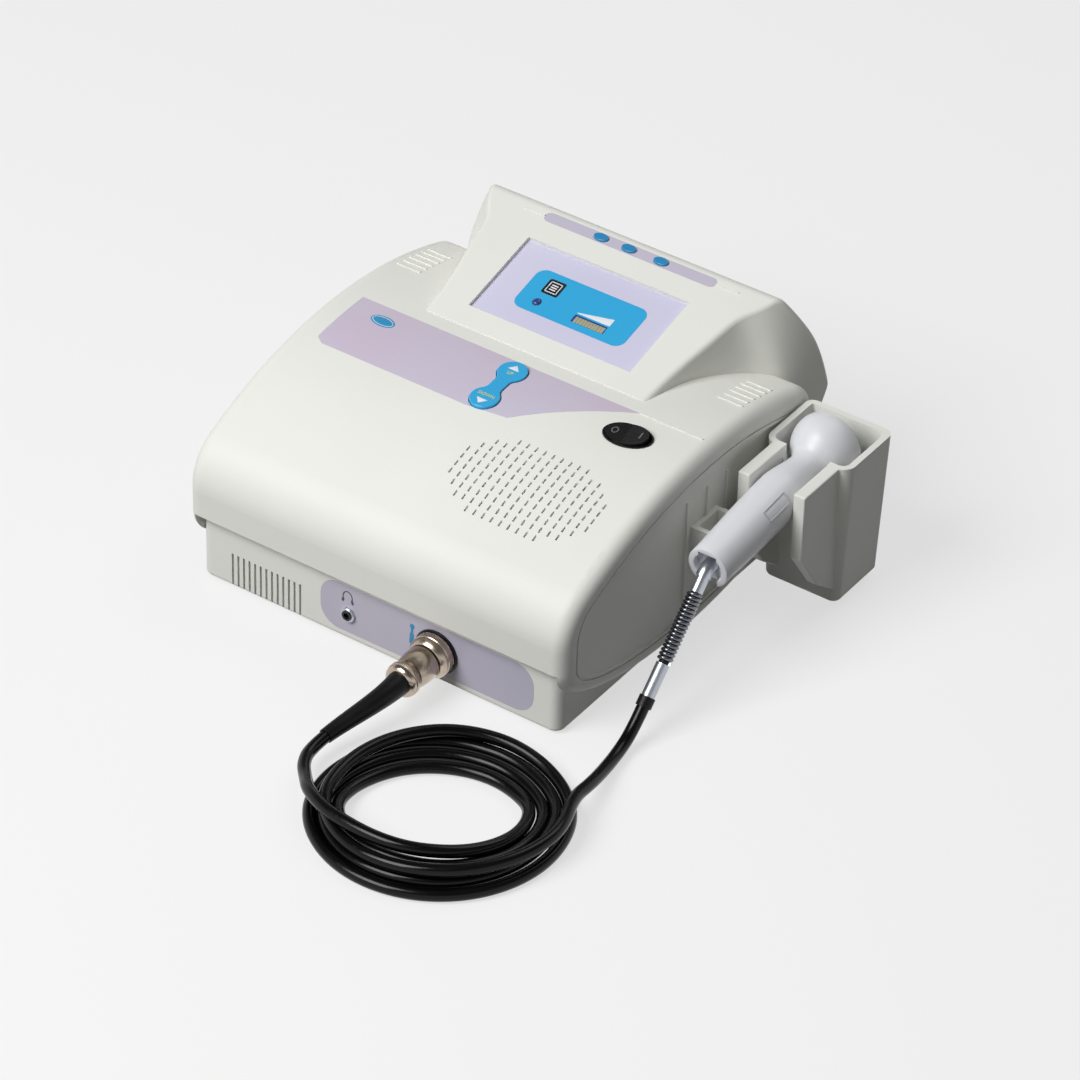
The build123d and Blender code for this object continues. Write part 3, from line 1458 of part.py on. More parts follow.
# ---- cradle: a small open box under the handle ----
cradle_middle = (cradle_front_y + cradle_back_y) / 2
with BuildPart() as handle_cradle:
    with BuildSketch(side_plane(panel_x)):
        with Locations((cradle_middle, (cradle_base_z + cradle_top_z) / 2)):
            Rectangle(cradle_back_y - cradle_front_y, cradle_top_z - cradle_base_z)
    extrude(amount=cradle_reach)
    with BuildSketch(level(cradle_base_z + cradle_wall)):
        with Locations((panel_x + cradle_wall + cradle_reach / 2, cradle_middle)):
            Rectangle(cradle_reach, cradle_back_y - cradle_front_y - 2 * cradle_wall)
    extrude(amount=cradle_top_z, mode=Mode.SUBTRACT)
    with BuildSketch(Plane(origin=probe_plane(shoulder_end).origin, z_dir=probe_axis.direction)):
        Circle(handle_radius + probe_rest_gap)
    extrude(amount=handle_end - shoulder_end, mode=Mode.SUBTRACT)
    # grooves over the case's upright ribs
    with BuildSketch(side_plane(panel_x)):
        for y in side_rib_places:
            with Locations((y, cradle_base_z)):
                Rectangle(side_rib_width + 2 * probe_rest_gap, 3 * cradle_top_z)
    extrude(amount=side_rib_rise + fit_clearance, mode=Mode.SUBTRACT)
hand_in(handle_cradle.part, "handle_cradle")
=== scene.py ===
"""Looks of a desktop fetal heart monitor with a corded probe resting in its side holder."""

import json
import logging
import math
from collections.abc import Callable, Iterable, Iterator
from contextlib import contextmanager
from dataclasses import dataclass, replace
from enum import Enum

import bpy
from mathutils import Matrix, Vector

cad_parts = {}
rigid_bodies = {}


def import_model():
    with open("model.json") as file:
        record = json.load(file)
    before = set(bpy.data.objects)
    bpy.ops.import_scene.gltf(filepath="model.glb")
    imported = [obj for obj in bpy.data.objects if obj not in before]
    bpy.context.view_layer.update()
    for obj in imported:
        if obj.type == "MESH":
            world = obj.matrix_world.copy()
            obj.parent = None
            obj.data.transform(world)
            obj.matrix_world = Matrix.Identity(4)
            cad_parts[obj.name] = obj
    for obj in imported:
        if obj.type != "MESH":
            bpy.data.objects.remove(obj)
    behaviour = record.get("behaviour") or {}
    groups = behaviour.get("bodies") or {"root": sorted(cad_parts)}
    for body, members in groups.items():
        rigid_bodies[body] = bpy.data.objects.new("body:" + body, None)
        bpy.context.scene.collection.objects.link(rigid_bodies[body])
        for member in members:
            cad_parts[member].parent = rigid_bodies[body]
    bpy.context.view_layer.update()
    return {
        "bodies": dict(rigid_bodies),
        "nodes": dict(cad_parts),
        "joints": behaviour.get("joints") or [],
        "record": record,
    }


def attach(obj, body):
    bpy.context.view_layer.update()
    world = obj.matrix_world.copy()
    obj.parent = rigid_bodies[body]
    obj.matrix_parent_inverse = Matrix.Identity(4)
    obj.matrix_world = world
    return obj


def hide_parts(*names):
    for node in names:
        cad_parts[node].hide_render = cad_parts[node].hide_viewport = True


LOG = logging.getLogger("monitor")
MM = 0.001
# Where the case's own origin, the middle of its front edge, lies in the model's frame.
CASE_X, CASE_Y = -26.75, -127.0
RIGHT = Vector((1.0, 0.0, 0.0))
BACK = Vector((0.0, 1.0, 0.0))

Pair = tuple[float, float]
Point = tuple[float, float, float]
Profile = tuple[Pair, ...]
Shade = tuple[int, int, int]
Piece = bpy.types.Object
Node = bpy.types.Node
Socket = bpy.types.NodeSocket
Tree = bpy.types.NodeTree
Inputs = dict[str | int, object]
FaceTest = Callable[[bpy.types.MeshPolygon], bool]


def linear(shade: Shade) -> tuple[float, float, float, float]:
    """Turn a colour of eight bits a channel into linear light.

    Args:
        shade: Red, green and blue, 0 to 255.

    Returns:
        The three channels in linear light, and full alpha.
    """
    shares = (value / 255 for value in shade)
    red, green, blue = (
        share / 12.92 if share <= 0.04045 else ((share + 0.055) / 1.055) ** 2.4 for share in shares
    )
    return red, green, blue, 1.0


def case_point(x: float, y: float, z: float) -> Vector:
    """A point given in the case's millimetres, in the model's metres."""
    return Vector((CASE_X + x, CASE_Y + y, z)) * MM


# ---------------------------------------------------------------- finishes


class Effect(Enum):
    """The surface effect that a finish is built on."""

    GRAIN = "Moulded grain"
    STREAKS = "Turned streaks"
    PRINT = "Printed film"
    RUBBER = "Rubber skin"
    BOARD = "Board traces"


@dataclass(frozen=True)
class Finish:
    """One finish and the way its surface varies.

    Attributes:
        name: What the finish is called.
        colour: Main colour, eight bits a channel.
        accent: The colour it drifts towards.
        effect: The shared effect it is built on.
        scale: Features of the effect for each metre.
        drift: How far the accent shows, 0 to 1.
        roughness: Least and greatest roughness.
        bump: Height of the relief in metres.
        metallic: 1 for bare metal.
        coat: Weight of a clear coat.
        specular: Specular level.
        direction: Stretch of the pattern along each axis.
    """

    name: str
    colour: Shade
    accent: Shade
    effect: Effect = Effect.GRAIN
    scale: float = 900.0
    drift: float = 0.35
    roughness: Pair = (0.38, 0.5)
    bump: float = 0.00003
    metallic: float = 0.0
    coat: float = 0.0
    specular: float = 0.5
    direction: Point = (1.0, 1.0, 1.0)

    def variant(self, name: str, colour: Shade, accent: Shade, **changes: object) -> "Finish":
        """A finish like this one in other colours.

        Args:
            name: Its name.
            colour: Its main colour.
            accent: The colour it drifts towards.
            changes: Whatever else differs.

        Returns:
            The new finish.
        """
        return replace(self, name=name, colour=colour, accent=accent, **changes)


def add_node(tree: Tree, kind: str, inputs: Inputs | None = None, **settings: object) -> Node:
    """Add a shader node with its inputs filled.

    Args:
        tree: The tree it goes in.
        kind: Its type.
        inputs: A value, or a socket to link, for each input named.
        settings: Properties to set on the node first.

    Returns:
        The node.
    """
    made = tree.nodes.new(kind)
    for name, value in settings.items():
        setattr(made, name, value)
    for name, value in (inputs or {}).items():
        if isinstance(value, Socket):
            tree.links.new(value, made.inputs[name])
        else:
            made.inputs[name].default_value = value
    return made


@dataclass
class Pattern:
    """A group under construction. Each effect gives its tone, its gloss and its height.

    Attributes:
        tree: The group.
        vector: Where its textures read their place.
        scale: Features for each metre.
    """

    tree: Tree
    vector: Socket
    scale: Socket

    def noise(self, share: float, detail: float) -> Socket:
        """Noise at a share of the group's scale, with some octaves of detail."""
        inputs = {"Vector": self.vector, "Scale": self.math("MULTIPLY", self.scale, share), "Detail": detail}
        return add_node(self.tree, "ShaderNodeTexNoise", inputs).outputs[0]

    def cells(self, randomness: float = 1.0, **settings: str) -> Socket:
        """Distance to the nearest of many scattered points."""
        inputs = {"Vector": self.vector, "Scale": self.scale, "Randomness": randomness}
        return add_node(self.tree, "ShaderNodeTexVoronoi", inputs, **settings).outputs["Distance"]

    def math(self, operation: str, first: Socket, second: Socket | float) -> Socket:
        """One sum of two values."""
        return add_node(self.tree, "ShaderNodeMath", {0: first, 1: second}, operation=operation).outputs[0]

    def spread(self, value: Socket, low: float, high: float) -> Socket:
        """Stretch the range between low and high to 0 to 1."""
        inputs = {"Value": value, "From Min": low, "From Max": high}
        return add_node(self.tree, "ShaderNodeMapRange", inputs).outputs[0]

    def grain(self) -> tuple[Socket, Socket, Socket]:
        """Fine spark-eroded grain of a moulding, with a slow drift of tone."""
        fine, slow = self.noise(1.0, 2.0), self.noise(0.012, 3.0)
        pores = self.math("MULTIPLY", self.cells(feature="SMOOTH_F1"), 0.8)
        drift = self.math("ADD", slow, self.math("MULTIPLY", fine, 0.15))
        return self.spread(drift, 0.42, 0.78), self.spread(fine, 0.3, 0.7), self.math("ADD", pores, fine)

    def streaks(self) -> tuple[Socket, Socket, Socket]:
        """Fine tool marks round a turned or drawn metal piece."""
        marks, soft = self.noise(1.0, 4.0), self.noise(0.08, 2.0)
        return self.spread(self.math("ADD", marks, soft), 0.7, 1.3), self.spread(soft, 0.35, 0.65), marks

    def film(self) -> tuple[Socket, Socket, Socket]:
        """Printed film: two inks that fade into each other over a faint screen of dots."""
        fade, leather = self.noise(0.006, 1.0), self.noise(0.7, 2.0)
        dots = self.math("MULTIPLY", self.cells(randomness=0.15), 0.12)
        return self.spread(self.math("ADD", fade, dots), 0.4, 0.72), self.spread(leather, 0.3, 0.7), leather

    def rubber(self) -> tuple[Socket, Socket, Socket]:
        """Smooth extruded rubber with faint flow lines and bloom."""
        flow, bloom = self.noise(1.0, 3.0), self.noise(0.06, 2.0)
        return self.spread(bloom, 0.45, 0.75), self.spread(self.math("ADD", flow, bloom), 0.75, 1.25), flow

    def board(self) -> tuple[Socket, Socket, Socket]:
        """Tracks of a circuit board under its solder mask."""
        tracks = self.math("PINGPONG", self.cells(distance="CHEBYCHEV", feature="F1"), 0.12)
        edge = self.spread(tracks, 0.045, 0.06)
        return edge, self.noise(1.0, 2.0), edge


class Paint:
    """Builds each effect's group and each finish's material once, and dresses pieces and nodes."""

    makers: dict[Effect, Callable[[Pattern], tuple[Socket, Socket, Socket]]] = {
        Effect.GRAIN: Pattern.grain,
        Effect.STREAKS: Pattern.streaks,
        Effect.PRINT: Pattern.film,
        Effect.RUBBER: Pattern.rubber,
        Effect.BOARD: Pattern.board,
    }
    results = ("Tone", "Gloss", "Height")
    coat_roughness = 0.08
    relief_strength = 0.5

    def __init__(self) -> None:
        """Start with an empty shelf."""
        self.groups: dict[Effect, Tree] = {}
        self.shelf: dict[str, bpy.types.Material] = {}

    def group(self, effect: Effect) -> Tree:
        """Give the group of an effect, building it at its first use.

        Args:
            effect: The effect wanted.

        Returns:
            Its node group, with inputs Vector and Scale and outputs Tone, Gloss and Height.
        """
        if effect not in self.groups:
            tree = bpy.data.node_groups.new(effect.value, "ShaderNodeTree")
            tree.interface.new_socket("Vector", in_out="INPUT", socket_type="NodeSocketVector")
            tree.interface.new_socket("Scale", in_out="INPUT", socket_type="NodeSocketFloat")
            for name in self.results:
                tree.interface.new_socket(name, in_out="OUTPUT", socket_type="NodeSocketFloat")
            given = add_node(tree, "NodeGroupInput").outputs
            made = self.makers[effect](Pattern(tree, given["Vector"], given["Scale"]))
            add_node(tree, "NodeGroupOutput", dict(zip(self.results, made)))
            self.groups[effect] = tree
        return self.groups[effect]

    def material(self, finish: Finish) -> bpy.types.Material:
        """Give the material of a finish, building it at its first use.

        Args:
            finish: The finish wanted.

        Returns:
            Its material.
        """
        if finish.name in self.shelf:
            return self.shelf[finish.name]
        made = bpy.data.materials.new(finish.name)
        made.use_nodes = True
        tree = made.node_tree
        place = add_node(tree, "ShaderNodeTexCoord").outputs["Object"]
        stretch = add_node(tree, "ShaderNodeMapping", {"Vector": place, "Scale": finish.direction})
        inputs = {"Vector": stretch.outputs[0], "Scale": finish.scale}
        effect = add_node(tree, "ShaderNodeGroup", inputs, node_tree=self.group(finish.effect))
        tone, gloss, height = (effect.outputs[name] for name in self.results)
        inputs = {0: tone, 1: finish.drift}
        amount = add_node(tree, "ShaderNodeMath", inputs, operation="MULTIPLY", use_clamp=True)
        inputs = {"Factor": amount.outputs[0], "A": linear(finish.colour), "B": linear(finish.accent)}
        mix = add_node(tree, "ShaderNodeMix", inputs, data_type="RGBA")
        low, high = finish.roughness
        inputs = {"Value": gloss, "To Min": low, "To Max": high}
        rough = add_node(tree, "ShaderNodeMapRange", inputs)
        inputs = {"Strength": self.relief_strength, "Distance": finish.bump, "Height": height}
        relief = add_node(tree, "ShaderNodeBump", inputs)
        shader = tree.nodes["Principled BSDF"].inputs
        shader["Metallic"].default_value = finish.metallic
        shader["Coat Weight"].default_value = finish.coat
        shader["Coat Roughness"].default_value = self.coat_roughness
        shader["Specular IOR Level"].default_value = finish.specular
        tree.links.new(mix.outputs["Result"], shader["Base Color"])
        tree.links.new(rough.outputs["Result"], shader["Roughness"])
        tree.links.new(relief.outputs["Normal"], shader["Normal"])
        self.shelf[finish.name] = made
        return made

    def dress(self, target: Piece, finish: Finish) -> None:
        """Put a finish on a piece or a node.

        Args:
            target: What to dress.
            finish: The finish it gets.
        """
        made = self.material(finish)
        if not target.material_slots:
            target.data.materials.append(made)
        for slot in target.material_slots:
            slot.material = made


HOUSING = Finish(
    "Off white moulding", (236, 236, 230), (226, 226, 219),
    bump=0.00004, roughness=(0.48, 0.58), specular=0.35,
)
PROBE_SHELL = Finish(
    "Cool white moulding", (226, 227, 231), (216, 217, 222), scale=1100.0, roughness=(0.34, 0.42)
)
LENS = Finish("Smooth lens", (232, 233, 236), (224, 226, 230), bump=0.00001, roughness=(0.2, 0.28))
PAD = Finish("Handle pad", (190, 192, 199), (176, 180, 190), Effect.PRINT, 1500.0, roughness=(0.4, 0.5))
COVER_FILM = Finish(
    "Lilac cover film", (206, 202, 219), (207, 189, 208), Effect.PRINT, 1400.0, 0.9, (0.3, 0.4), 0.00001
)
# Front film: the cover film's lilac made darker, as painted shade of the upright front face.
SHADED_FRONT_FILM = COVER_FILM.variant(
    "Lilac front film in painted shade", (194, 190, 205), (182, 178, 197), drift=0.7, roughness=(0.32, 0.42)
)
STRIP_FILM = COVER_FILM.variant("Lilac strip film", (199, 194, 211), (206, 190, 208), drift=0.8)
OVERLAY = COVER_FILM.variant(
    "Display overlay", (215, 213, 235), (206, 203, 228), scale=1300.0, drift=0.6, roughness=(0.28, 0.38)
)
WINDOW = Finish(
    "Blue window", (58, 178, 232), (46, 168, 224),
    Effect.PRINT, 1200.0, 0.5, (0.16, 0.24), 0.000005, coat=0.4,
)
KEY_BLUE = Finish(
    "Blue key", (52, 146, 198), (38, 124, 178), scale=1600.0, drift=0.6, roughness=(0.24, 0.34)
)
ROCKER_BLUE = Finish(
    "Blue rocker", (60, 178, 230), (48, 166, 222), scale=1500.0, drift=0.5, roughness=(0.26, 0.36)
)
SWITCH_BLACK = Finish(
    "Black switch plastic", (20, 20, 21), (32, 32, 33),
    scale=1300.0, drift=0.5, roughness=(0.2, 0.34), specular=0.4,
)
INNER = Finish(
    "Dark inner plastic", (62, 60, 58), (74, 71, 68), scale=700.0, roughness=(0.5, 0.66), bump=0.00006
)
BRIGHT = Finish(
    "Bright plating", (192, 196, 204), (168, 173, 183),
    Effect.STREAKS, 900.0, 0.5, (0.3, 0.4), 0.000004, 1.0,
    direction=(1.0, 0.2, 0.2),
)
STEEL = Finish(
    "Plain steel", (176, 177, 180), (150, 152, 156),
    Effect.STREAKS, 1200.0, 0.6, (0.24, 0.36), 0.000006, 1.0,
    direction=(0.2, 1.0, 1.0),
)
SPRING = Finish(
    "Wound spring wire", (128, 130, 136), (92, 94, 100),
    Effect.STREAKS, 1500.0, 0.6, (0.16, 0.28), 0.000005, 1.0,
)
PLUG_METAL = Finish(
    "Warm plated plug", (196, 182, 166), (164, 150, 136),
    Effect.STREAKS, 1100.0, 0.7, (0.2, 0.3), 0.000004, 1.0,
    direction=(0.25, 1.0, 0.25),
)
RUBBER = Finish(
    "Black rubber", (14, 14, 15), (25, 25, 26),
    Effect.RUBBER, 800.0, 0.6, (0.36, 0.5), 0.00002, specular=0.22,
)
CORD_SKIN = Finish(
    "Glossy cord skin", (6, 6, 7), (12, 12, 13),
    Effect.RUBBER, 420.0, 0.6, (0.16, 0.26), 0.000012, specular=0.24,
)
BOARD = Finish(
    "Circuit board", (26, 92, 54), (58, 132, 76), Effect.BOARD, 160.0, 0.9, (0.3, 0.44), 0.00003
)
PRINT_WHITE = Finish(
    "White ink", (240, 241, 246), (226, 227, 236), Effect.PRINT, 1800.0, 0.4, (0.34, 0.44), 0.000004
)
PRINT_YELLOW = PRINT_WHITE.variant("Yellow ink", (226, 214, 96), (210, 196, 84))
PRINT_BLACK = PRINT_WHITE.variant("Black ink", (24, 24, 28), (40, 40, 46), roughness=(0.3, 0.4))
PRINT_GREY = PRINT_WHITE.variant("Dark grey ink", (70, 68, 84), (86, 84, 100), roughness=(0.32, 0.42))
PRINT_DIM = PRINT_WHITE.variant("Dim grey ink", (118, 118, 122), (100, 100, 104))
PRINT_BLUE = PRINT_WHITE.variant(
    "Blue ink", (34, 128, 176), (58, 160, 206), scale=1500.0, drift=0.8, roughness=(0.3, 0.4)
)
BAR_TAN = Finish(
    "Tan bar window", (190, 180, 138), (150, 158, 140),
    Effect.PRINT, 900.0, 0.8, (0.2, 0.3), 0.00001, coat=0.3,
)
LAMP_BLUE = Finish(
    "Unlit lamp", (44, 74, 150), (30, 52, 118), scale=1500.0, roughness=(0.12, 0.2), coat=0.5
)


# ---------------------------------------------------------------- modelling tools

# How far a print sinks into its carrier, in millimetres, the steps round its corners, its softened edge
# as a share of its height, and how much bolder than its font lettering is, as a share of its size.
SINK, CORNER_STEPS, SOFT_EDGE, BOLDER = 0.03, 8, 0.3, 0.012


def clear_selection() -> None:
    """Leave edit mode and select nothing."""
    if bpy.context.view_layer.objects.active and bpy.context.view_layer.objects.active.mode != "OBJECT":
        bpy.ops.object.mode_set(mode="OBJECT")
    bpy.ops.object.select_all(action="DESELECT")


def named(name: str) -> Piece:
    """Name the object that an operator has just made.

    Args:
        name: Its name, and its mesh's.

    Returns:
        The object.
    """
    made = bpy.context.active_object
    made.name = name
    made.data.name = name
    return made


def bake_place() -> None:
    """Move the selected object's place into its mesh."""
    bpy.ops.object.transform_apply(location=True, rotation=True, scale=True)


@contextmanager
def editing(piece: Piece, test: FaceTest = lambda face: True) -> Iterator[None]:
    """Work in edit mode, with the faces that pass a test selected.

    Args:
        piece: The mesh being shaped.
        test: True for a face to select.

    Yields:
        Nothing; object mode comes back at the end.
    """
    bpy.context.view_layer.objects.active = piece
    bpy.ops.object.mode_set(mode="EDIT")
    bpy.ops.mesh.select_mode(type="FACE")
    bpy.ops.mesh.select_all(action="DESELECT")
    bpy.ops.object.mode_set(mode="OBJECT")
    for polygon in piece.data.polygons:
        polygon.select = test(polygon)
    bpy.ops.object.mode_set(mode="EDIT")
    yield
    bpy.ops.object.mode_set(mode="OBJECT")


def face_outwards() -> None:
    """Select the whole mesh in edit mode and turn its faces outwards."""
    bpy.ops.mesh.select_all(action="SELECT")
    bpy.ops.mesh.normals_make_consistent(inside=False)


def raise_up(height: float) -> None:
    """Extrude what is selected along z."""
    bpy.ops.mesh.extrude_region_move(TRANSFORM_OT_translate={"value": (0.0, 0.0, height)})


def modify(piece: Piece, name: str, kind: str, **settings: object) -> None:
    """Put a modifier on the active piece and apply it.

    Args:
        piece: The piece.
        name: The modifier's name.
        kind: Its type.
        settings: Its settings.
    """
    made = piece.modifiers.new(name, kind)
    for key, value in settings.items():
        setattr(made, key, value)
    bpy.ops.object.modifier_apply(modifier=made.name)


def settle(piece: Piece, place: Matrix, angle: float = 35.0) -> Piece:
    """Put a finished mesh in place, with its place in its mesh.

    Args:
        piece: The piece, built about the world's origin.
        place: Where it goes.
        angle: Edges sharper than this stay crisp, in degrees.

    Returns:
        The piece.
    """
    clear_selection()
    piece.select_set(True)
    bpy.context.view_layer.objects.active = piece
    bpy.ops.object.shade_smooth_by_angle(angle=math.radians(angle))
    piece.matrix_world = place @ piece.matrix_world
    bake_place()
    return piece


def place_at(origin: Vector, x_dir: Vector, normal: Vector) -> Matrix:
    """Build a frame from its origin, a rough x direction and its normal.

    Args:
        origin: Where it lies.
        x_dir: Its x direction, made square to the normal here.
        normal: Its z direction.

    Returns:
        The frame.
    """
    z_dir = normal.normalized()
    x_dir = (x_dir - x_dir.dot(z_dir) * z_dir).normalized()
    frame = Matrix((x_dir, z_dir.cross(x_dir), z_dir)).transposed().to_4x4()
    frame.translation = origin
    return frame


def seat_on(nodes: dict[str, Piece], node: str, above: Vector, towards: Vector) -> Matrix:
    """Find where a print lies on a node by looking down onto it.

    Args:
        nodes: The CAD nodes.
        node: The node that carries the print.
        above: A point above the print's middle.
        towards: The direction to look in.

    Returns:
        The frame of the print on the node's face, its x to the right.
    """
    hit, spot, normal, _ = nodes[node].ray_cast(above, towards.normalized())
    if not hit:
        raise ValueError(f"nothing of {node} lies below {above}")
    return place_at(spot, RIGHT, -normal if normal.dot(towards) > 0 else normal)


class Outline(Enum):
    """Outlines a print can have, by the count of corners its circle starts from."""

    OVAL = 64
    TRIANGLE = 3
    PANEL = 4


@dataclass(frozen=True)
class Stamp:
    """A thin raised print with softened edges, in millimetres.

    Attributes:
        name: Its name.
        outline: Its outline.
        half: Half its width and half its length.
        height: How far it stands up.
        corner: Radius of a panel's corners.
        rim: Width left when the middle is cut out, or 0.
        shift: Where it lies in its frame.
        turn: A turn in its own plane, in degrees.
        taper: Length of the side at low x over the side at high x.
    """

    name: str
    outline: Outline
    half: Pair
    height: float = 0.12
    corner: float = 0.0
    rim: float = 0.0
    shift: Pair = (0.0, 0.0)
    turn: float = 0.0
    taper: float = 1.0

    def build(self) -> Piece:
        """Model the print flat about the world's origin.

        Returns:
            The mesh, not yet in place.
        """
        panel = self.outline is Outline.PANEL
        clear_selection()
        bpy.ops.mesh.primitive_circle_add(
            vertices=self.outline.value,
            radius=MM,
            fill_type="NGON",
            rotation=(0.0, 0.0, math.radians(45.0 if panel else 0.0)),
        )
        piece = named(self.name)
        bake_place()
        grow = math.sqrt(2.0) if panel else 1.0
        with editing(piece):
            bpy.ops.transform.resize(value=(self.half[0] * grow, self.half[1] * grow, 1.0))
            if self.corner:
                bpy.ops.mesh.select_mode(type="VERT")
                bpy.ops.mesh.bevel(offset=self.corner * MM, segments=CORNER_STEPS, affect="VERTICES")
                bpy.ops.mesh.select_mode(type="FACE")
                bpy.ops.mesh.select_all(action="SELECT")
            if self.taper != 1.0:
                self.narrow(piece)
            if self.rim:
                bpy.ops.mesh.inset(thickness=self.rim * MM)
                bpy.ops.mesh.delete(type="FACE")
                bpy.ops.mesh.select_all(action="SELECT")
            raise_up(self.height * MM)
        with editing(piece, lambda face: face.normal.z > 0.9 and face.center.z > 0.5 * self.height * MM):
            bpy.ops.mesh.bevel(offset=SOFT_EDGE * self.height * MM, segments=2, affect="EDGES")
            face_outwards()
        return piece

    def narrow(self, piece: Piece) -> None:
        """Draw in the outline's side at low x, so that a panel becomes a wedge.

        Args:
            piece: The flat outline, in edit mode.
        """
        bpy.ops.mesh.select_mode(type="VERT")
        bpy.ops.mesh.select_all(action="DESELECT")
        bpy.ops.object.mode_set(mode="OBJECT")
        for corner in piece.data.vertices:
            corner.select = corner.co.x < 0
        bpy.ops.object.mode_set(mode="EDIT")
        low_edge = (0.0, -self.half[1] * MM, 0.0)
        bpy.ops.transform.resize(value=(1.0, self.taper, 1.0), center_override=low_edge)
        bpy.ops.mesh.select_mode(type="FACE")
        bpy.ops.mesh.select_all(action="SELECT")

    def on(self, frame: Matrix) -> Piece:
        """Build the print and lay it in its carrier's frame, sunk by a hair so that it touches."""
        shift = Matrix.Translation(Vector((*self.shift, -SINK)) * MM)
        return settle(self.build(), frame @ shift @ Matrix.Rotation(math.radians(self.turn), 4, "Z"))


def lettering(name: str, words: str, size: float, frame: Matrix, height: float = 0.1) -> Piece:
    """Raised lettering, centred in a frame.

    Args:
        name: The piece's name.
        words: What it reads.
        size: Letter size in millimetres.
        frame: Where it lies.
        height: How far it stands up, in millimetres.

    Returns:
        The lettering as a mesh in place.
    """
    clear_selection()
    bpy.ops.object.text_add()
    text = named(name).data
    text.body = words
    text.size = size * MM
    text.align_x = text.align_y = "CENTER"
    text.extrude = 0.5 * height * MM
    text.offset = BOLDER * size * MM
    bpy.ops.object.convert(target="MESH")
    piece = named(name)
    with editing(piece):
        bpy.ops.mesh.remove_doubles(threshold=0.000001)
        face_outwards()
    return settle(piece, frame @ Matrix.Translation((0.0, 0.0, 0.4 * height * MM)))


def turned(name: str, stations: Iterable[Pair], segments: int = 96) -> Piece:
    """Turn a piece about z, station by station, from a filled circle.

    Args:
        name: The piece's name.
        stations: Height and radius of each station, in millimetres.
        segments: Corners round the piece.

    Returns:
        The turned mesh about the world's z axis, closed at both ends.
    """
    (height, radius), *others = stations
    clear_selection()
    bpy.ops.mesh.primitive_circle_add(
        vertices=segments, radius=radius * MM, fill_type="NGON", location=(0.0, 0.0, height * MM)
    )
    piece = named(name)
    bake_place()
    with editing(piece):
        for next_height, next_radius in others:
            raise_up((next_height - height) * MM)
            share, middle = next_radius / radius, (0.0, 0.0, next_height * MM)
            bpy.ops.transform.resize(value=(share, share, 1.0), center_override=middle)
            height, radius = next_height, next_radius
        face_outwards()
    return piece


def smooth_stations(points: Iterable[Pair], parts: int = 6) -> list[Pair]:
    """Run a smooth curve through a profile's points.

    Args:
        points: Height and radius of the profile's points.
        parts: Steps between two points.

    Returns:
        The stations on the curve.
    """
    points = list(points)
    padded = [points[0], *points, points[-1]]
    stations = [points[0]]
    for before, low, high, after in zip(padded, padded[1:], padded[2:], padded[3:]):
        for step in range(1, parts + 1):
            share = step / parts
            place = []
            for a, b, c, d in zip(before, low, high, after):
                bend = (2 * a - 5 * b + 4 * c - d) * share**2 + (3 * b - a - 3 * c + d) * share**3
                place.append(0.5 * (2 * b + (c - a) * share + bend))
            stations.append((place[0], place[1]))
    return stations


def cut_with(piece: Piece, tool: Piece) -> None:
    """Cut one mesh out of another and throw the tool away.

    Args:
        piece: The mesh that is cut.
        tool: The mesh that cuts it.
    """
    clear_selection()
    bpy.context.view_layer.objects.active = piece
    modify(piece, "Cut", "BOOLEAN", operation="DIFFERENCE", solver="EXACT", object=tool)
    tool.select_set(True)
    bpy.ops.object.delete()


def merge(name: str, parts: Iterable[Piece]) -> Piece:
    """Join meshes that make one piece.

    Args:
        name: The piece's name.
        parts: Its meshes, all in place.

    Returns:
        The one piece.
    """
    clear_selection()
    parts = list(parts)
    for part in parts:
        part.select_set(True)
    bpy.context.view_layer.objects.active = parts[0]
    bpy.ops.object.join()
    return named(name)


# ---------------------------------------------------------------- sub-assemblies


@dataclass
class Assembly:
    """What every sub-assembly has: the CAD nodes and the paint.

    Attributes:
        nodes: The CAD nodes by name.
        paint: Where finishes come from.
    """

    nodes: dict[str, Piece]
    paint: Paint

    def dress_nodes(self, finishes: dict[Finish, tuple[str, ...]]) -> None:
        """Put finishes on nodes.

        Args:
            finishes: The names of the nodes that get each finish.
        """
        for finish, names in finishes.items():
            for name in names:
                self.paint.dress(self.nodes[name], finish)
                LOG.info("dressed %s in %s", name, finish.name)

    def add(self, piece: Piece, finish: Finish, body: str, slot: str) -> Piece:
        """Dress a new piece and make it ride on a body.

        Args:
            piece: The piece in place.
            finish: Its finish.
            body: The CAD body it rides on.
            slot: A material slot of the record; not used.

        Returns:
            The piece.
        """
        self.paint.dress(piece, finish)
        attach(piece, body)
        LOG.info("built %s on %s", piece.name, body)
        return piece


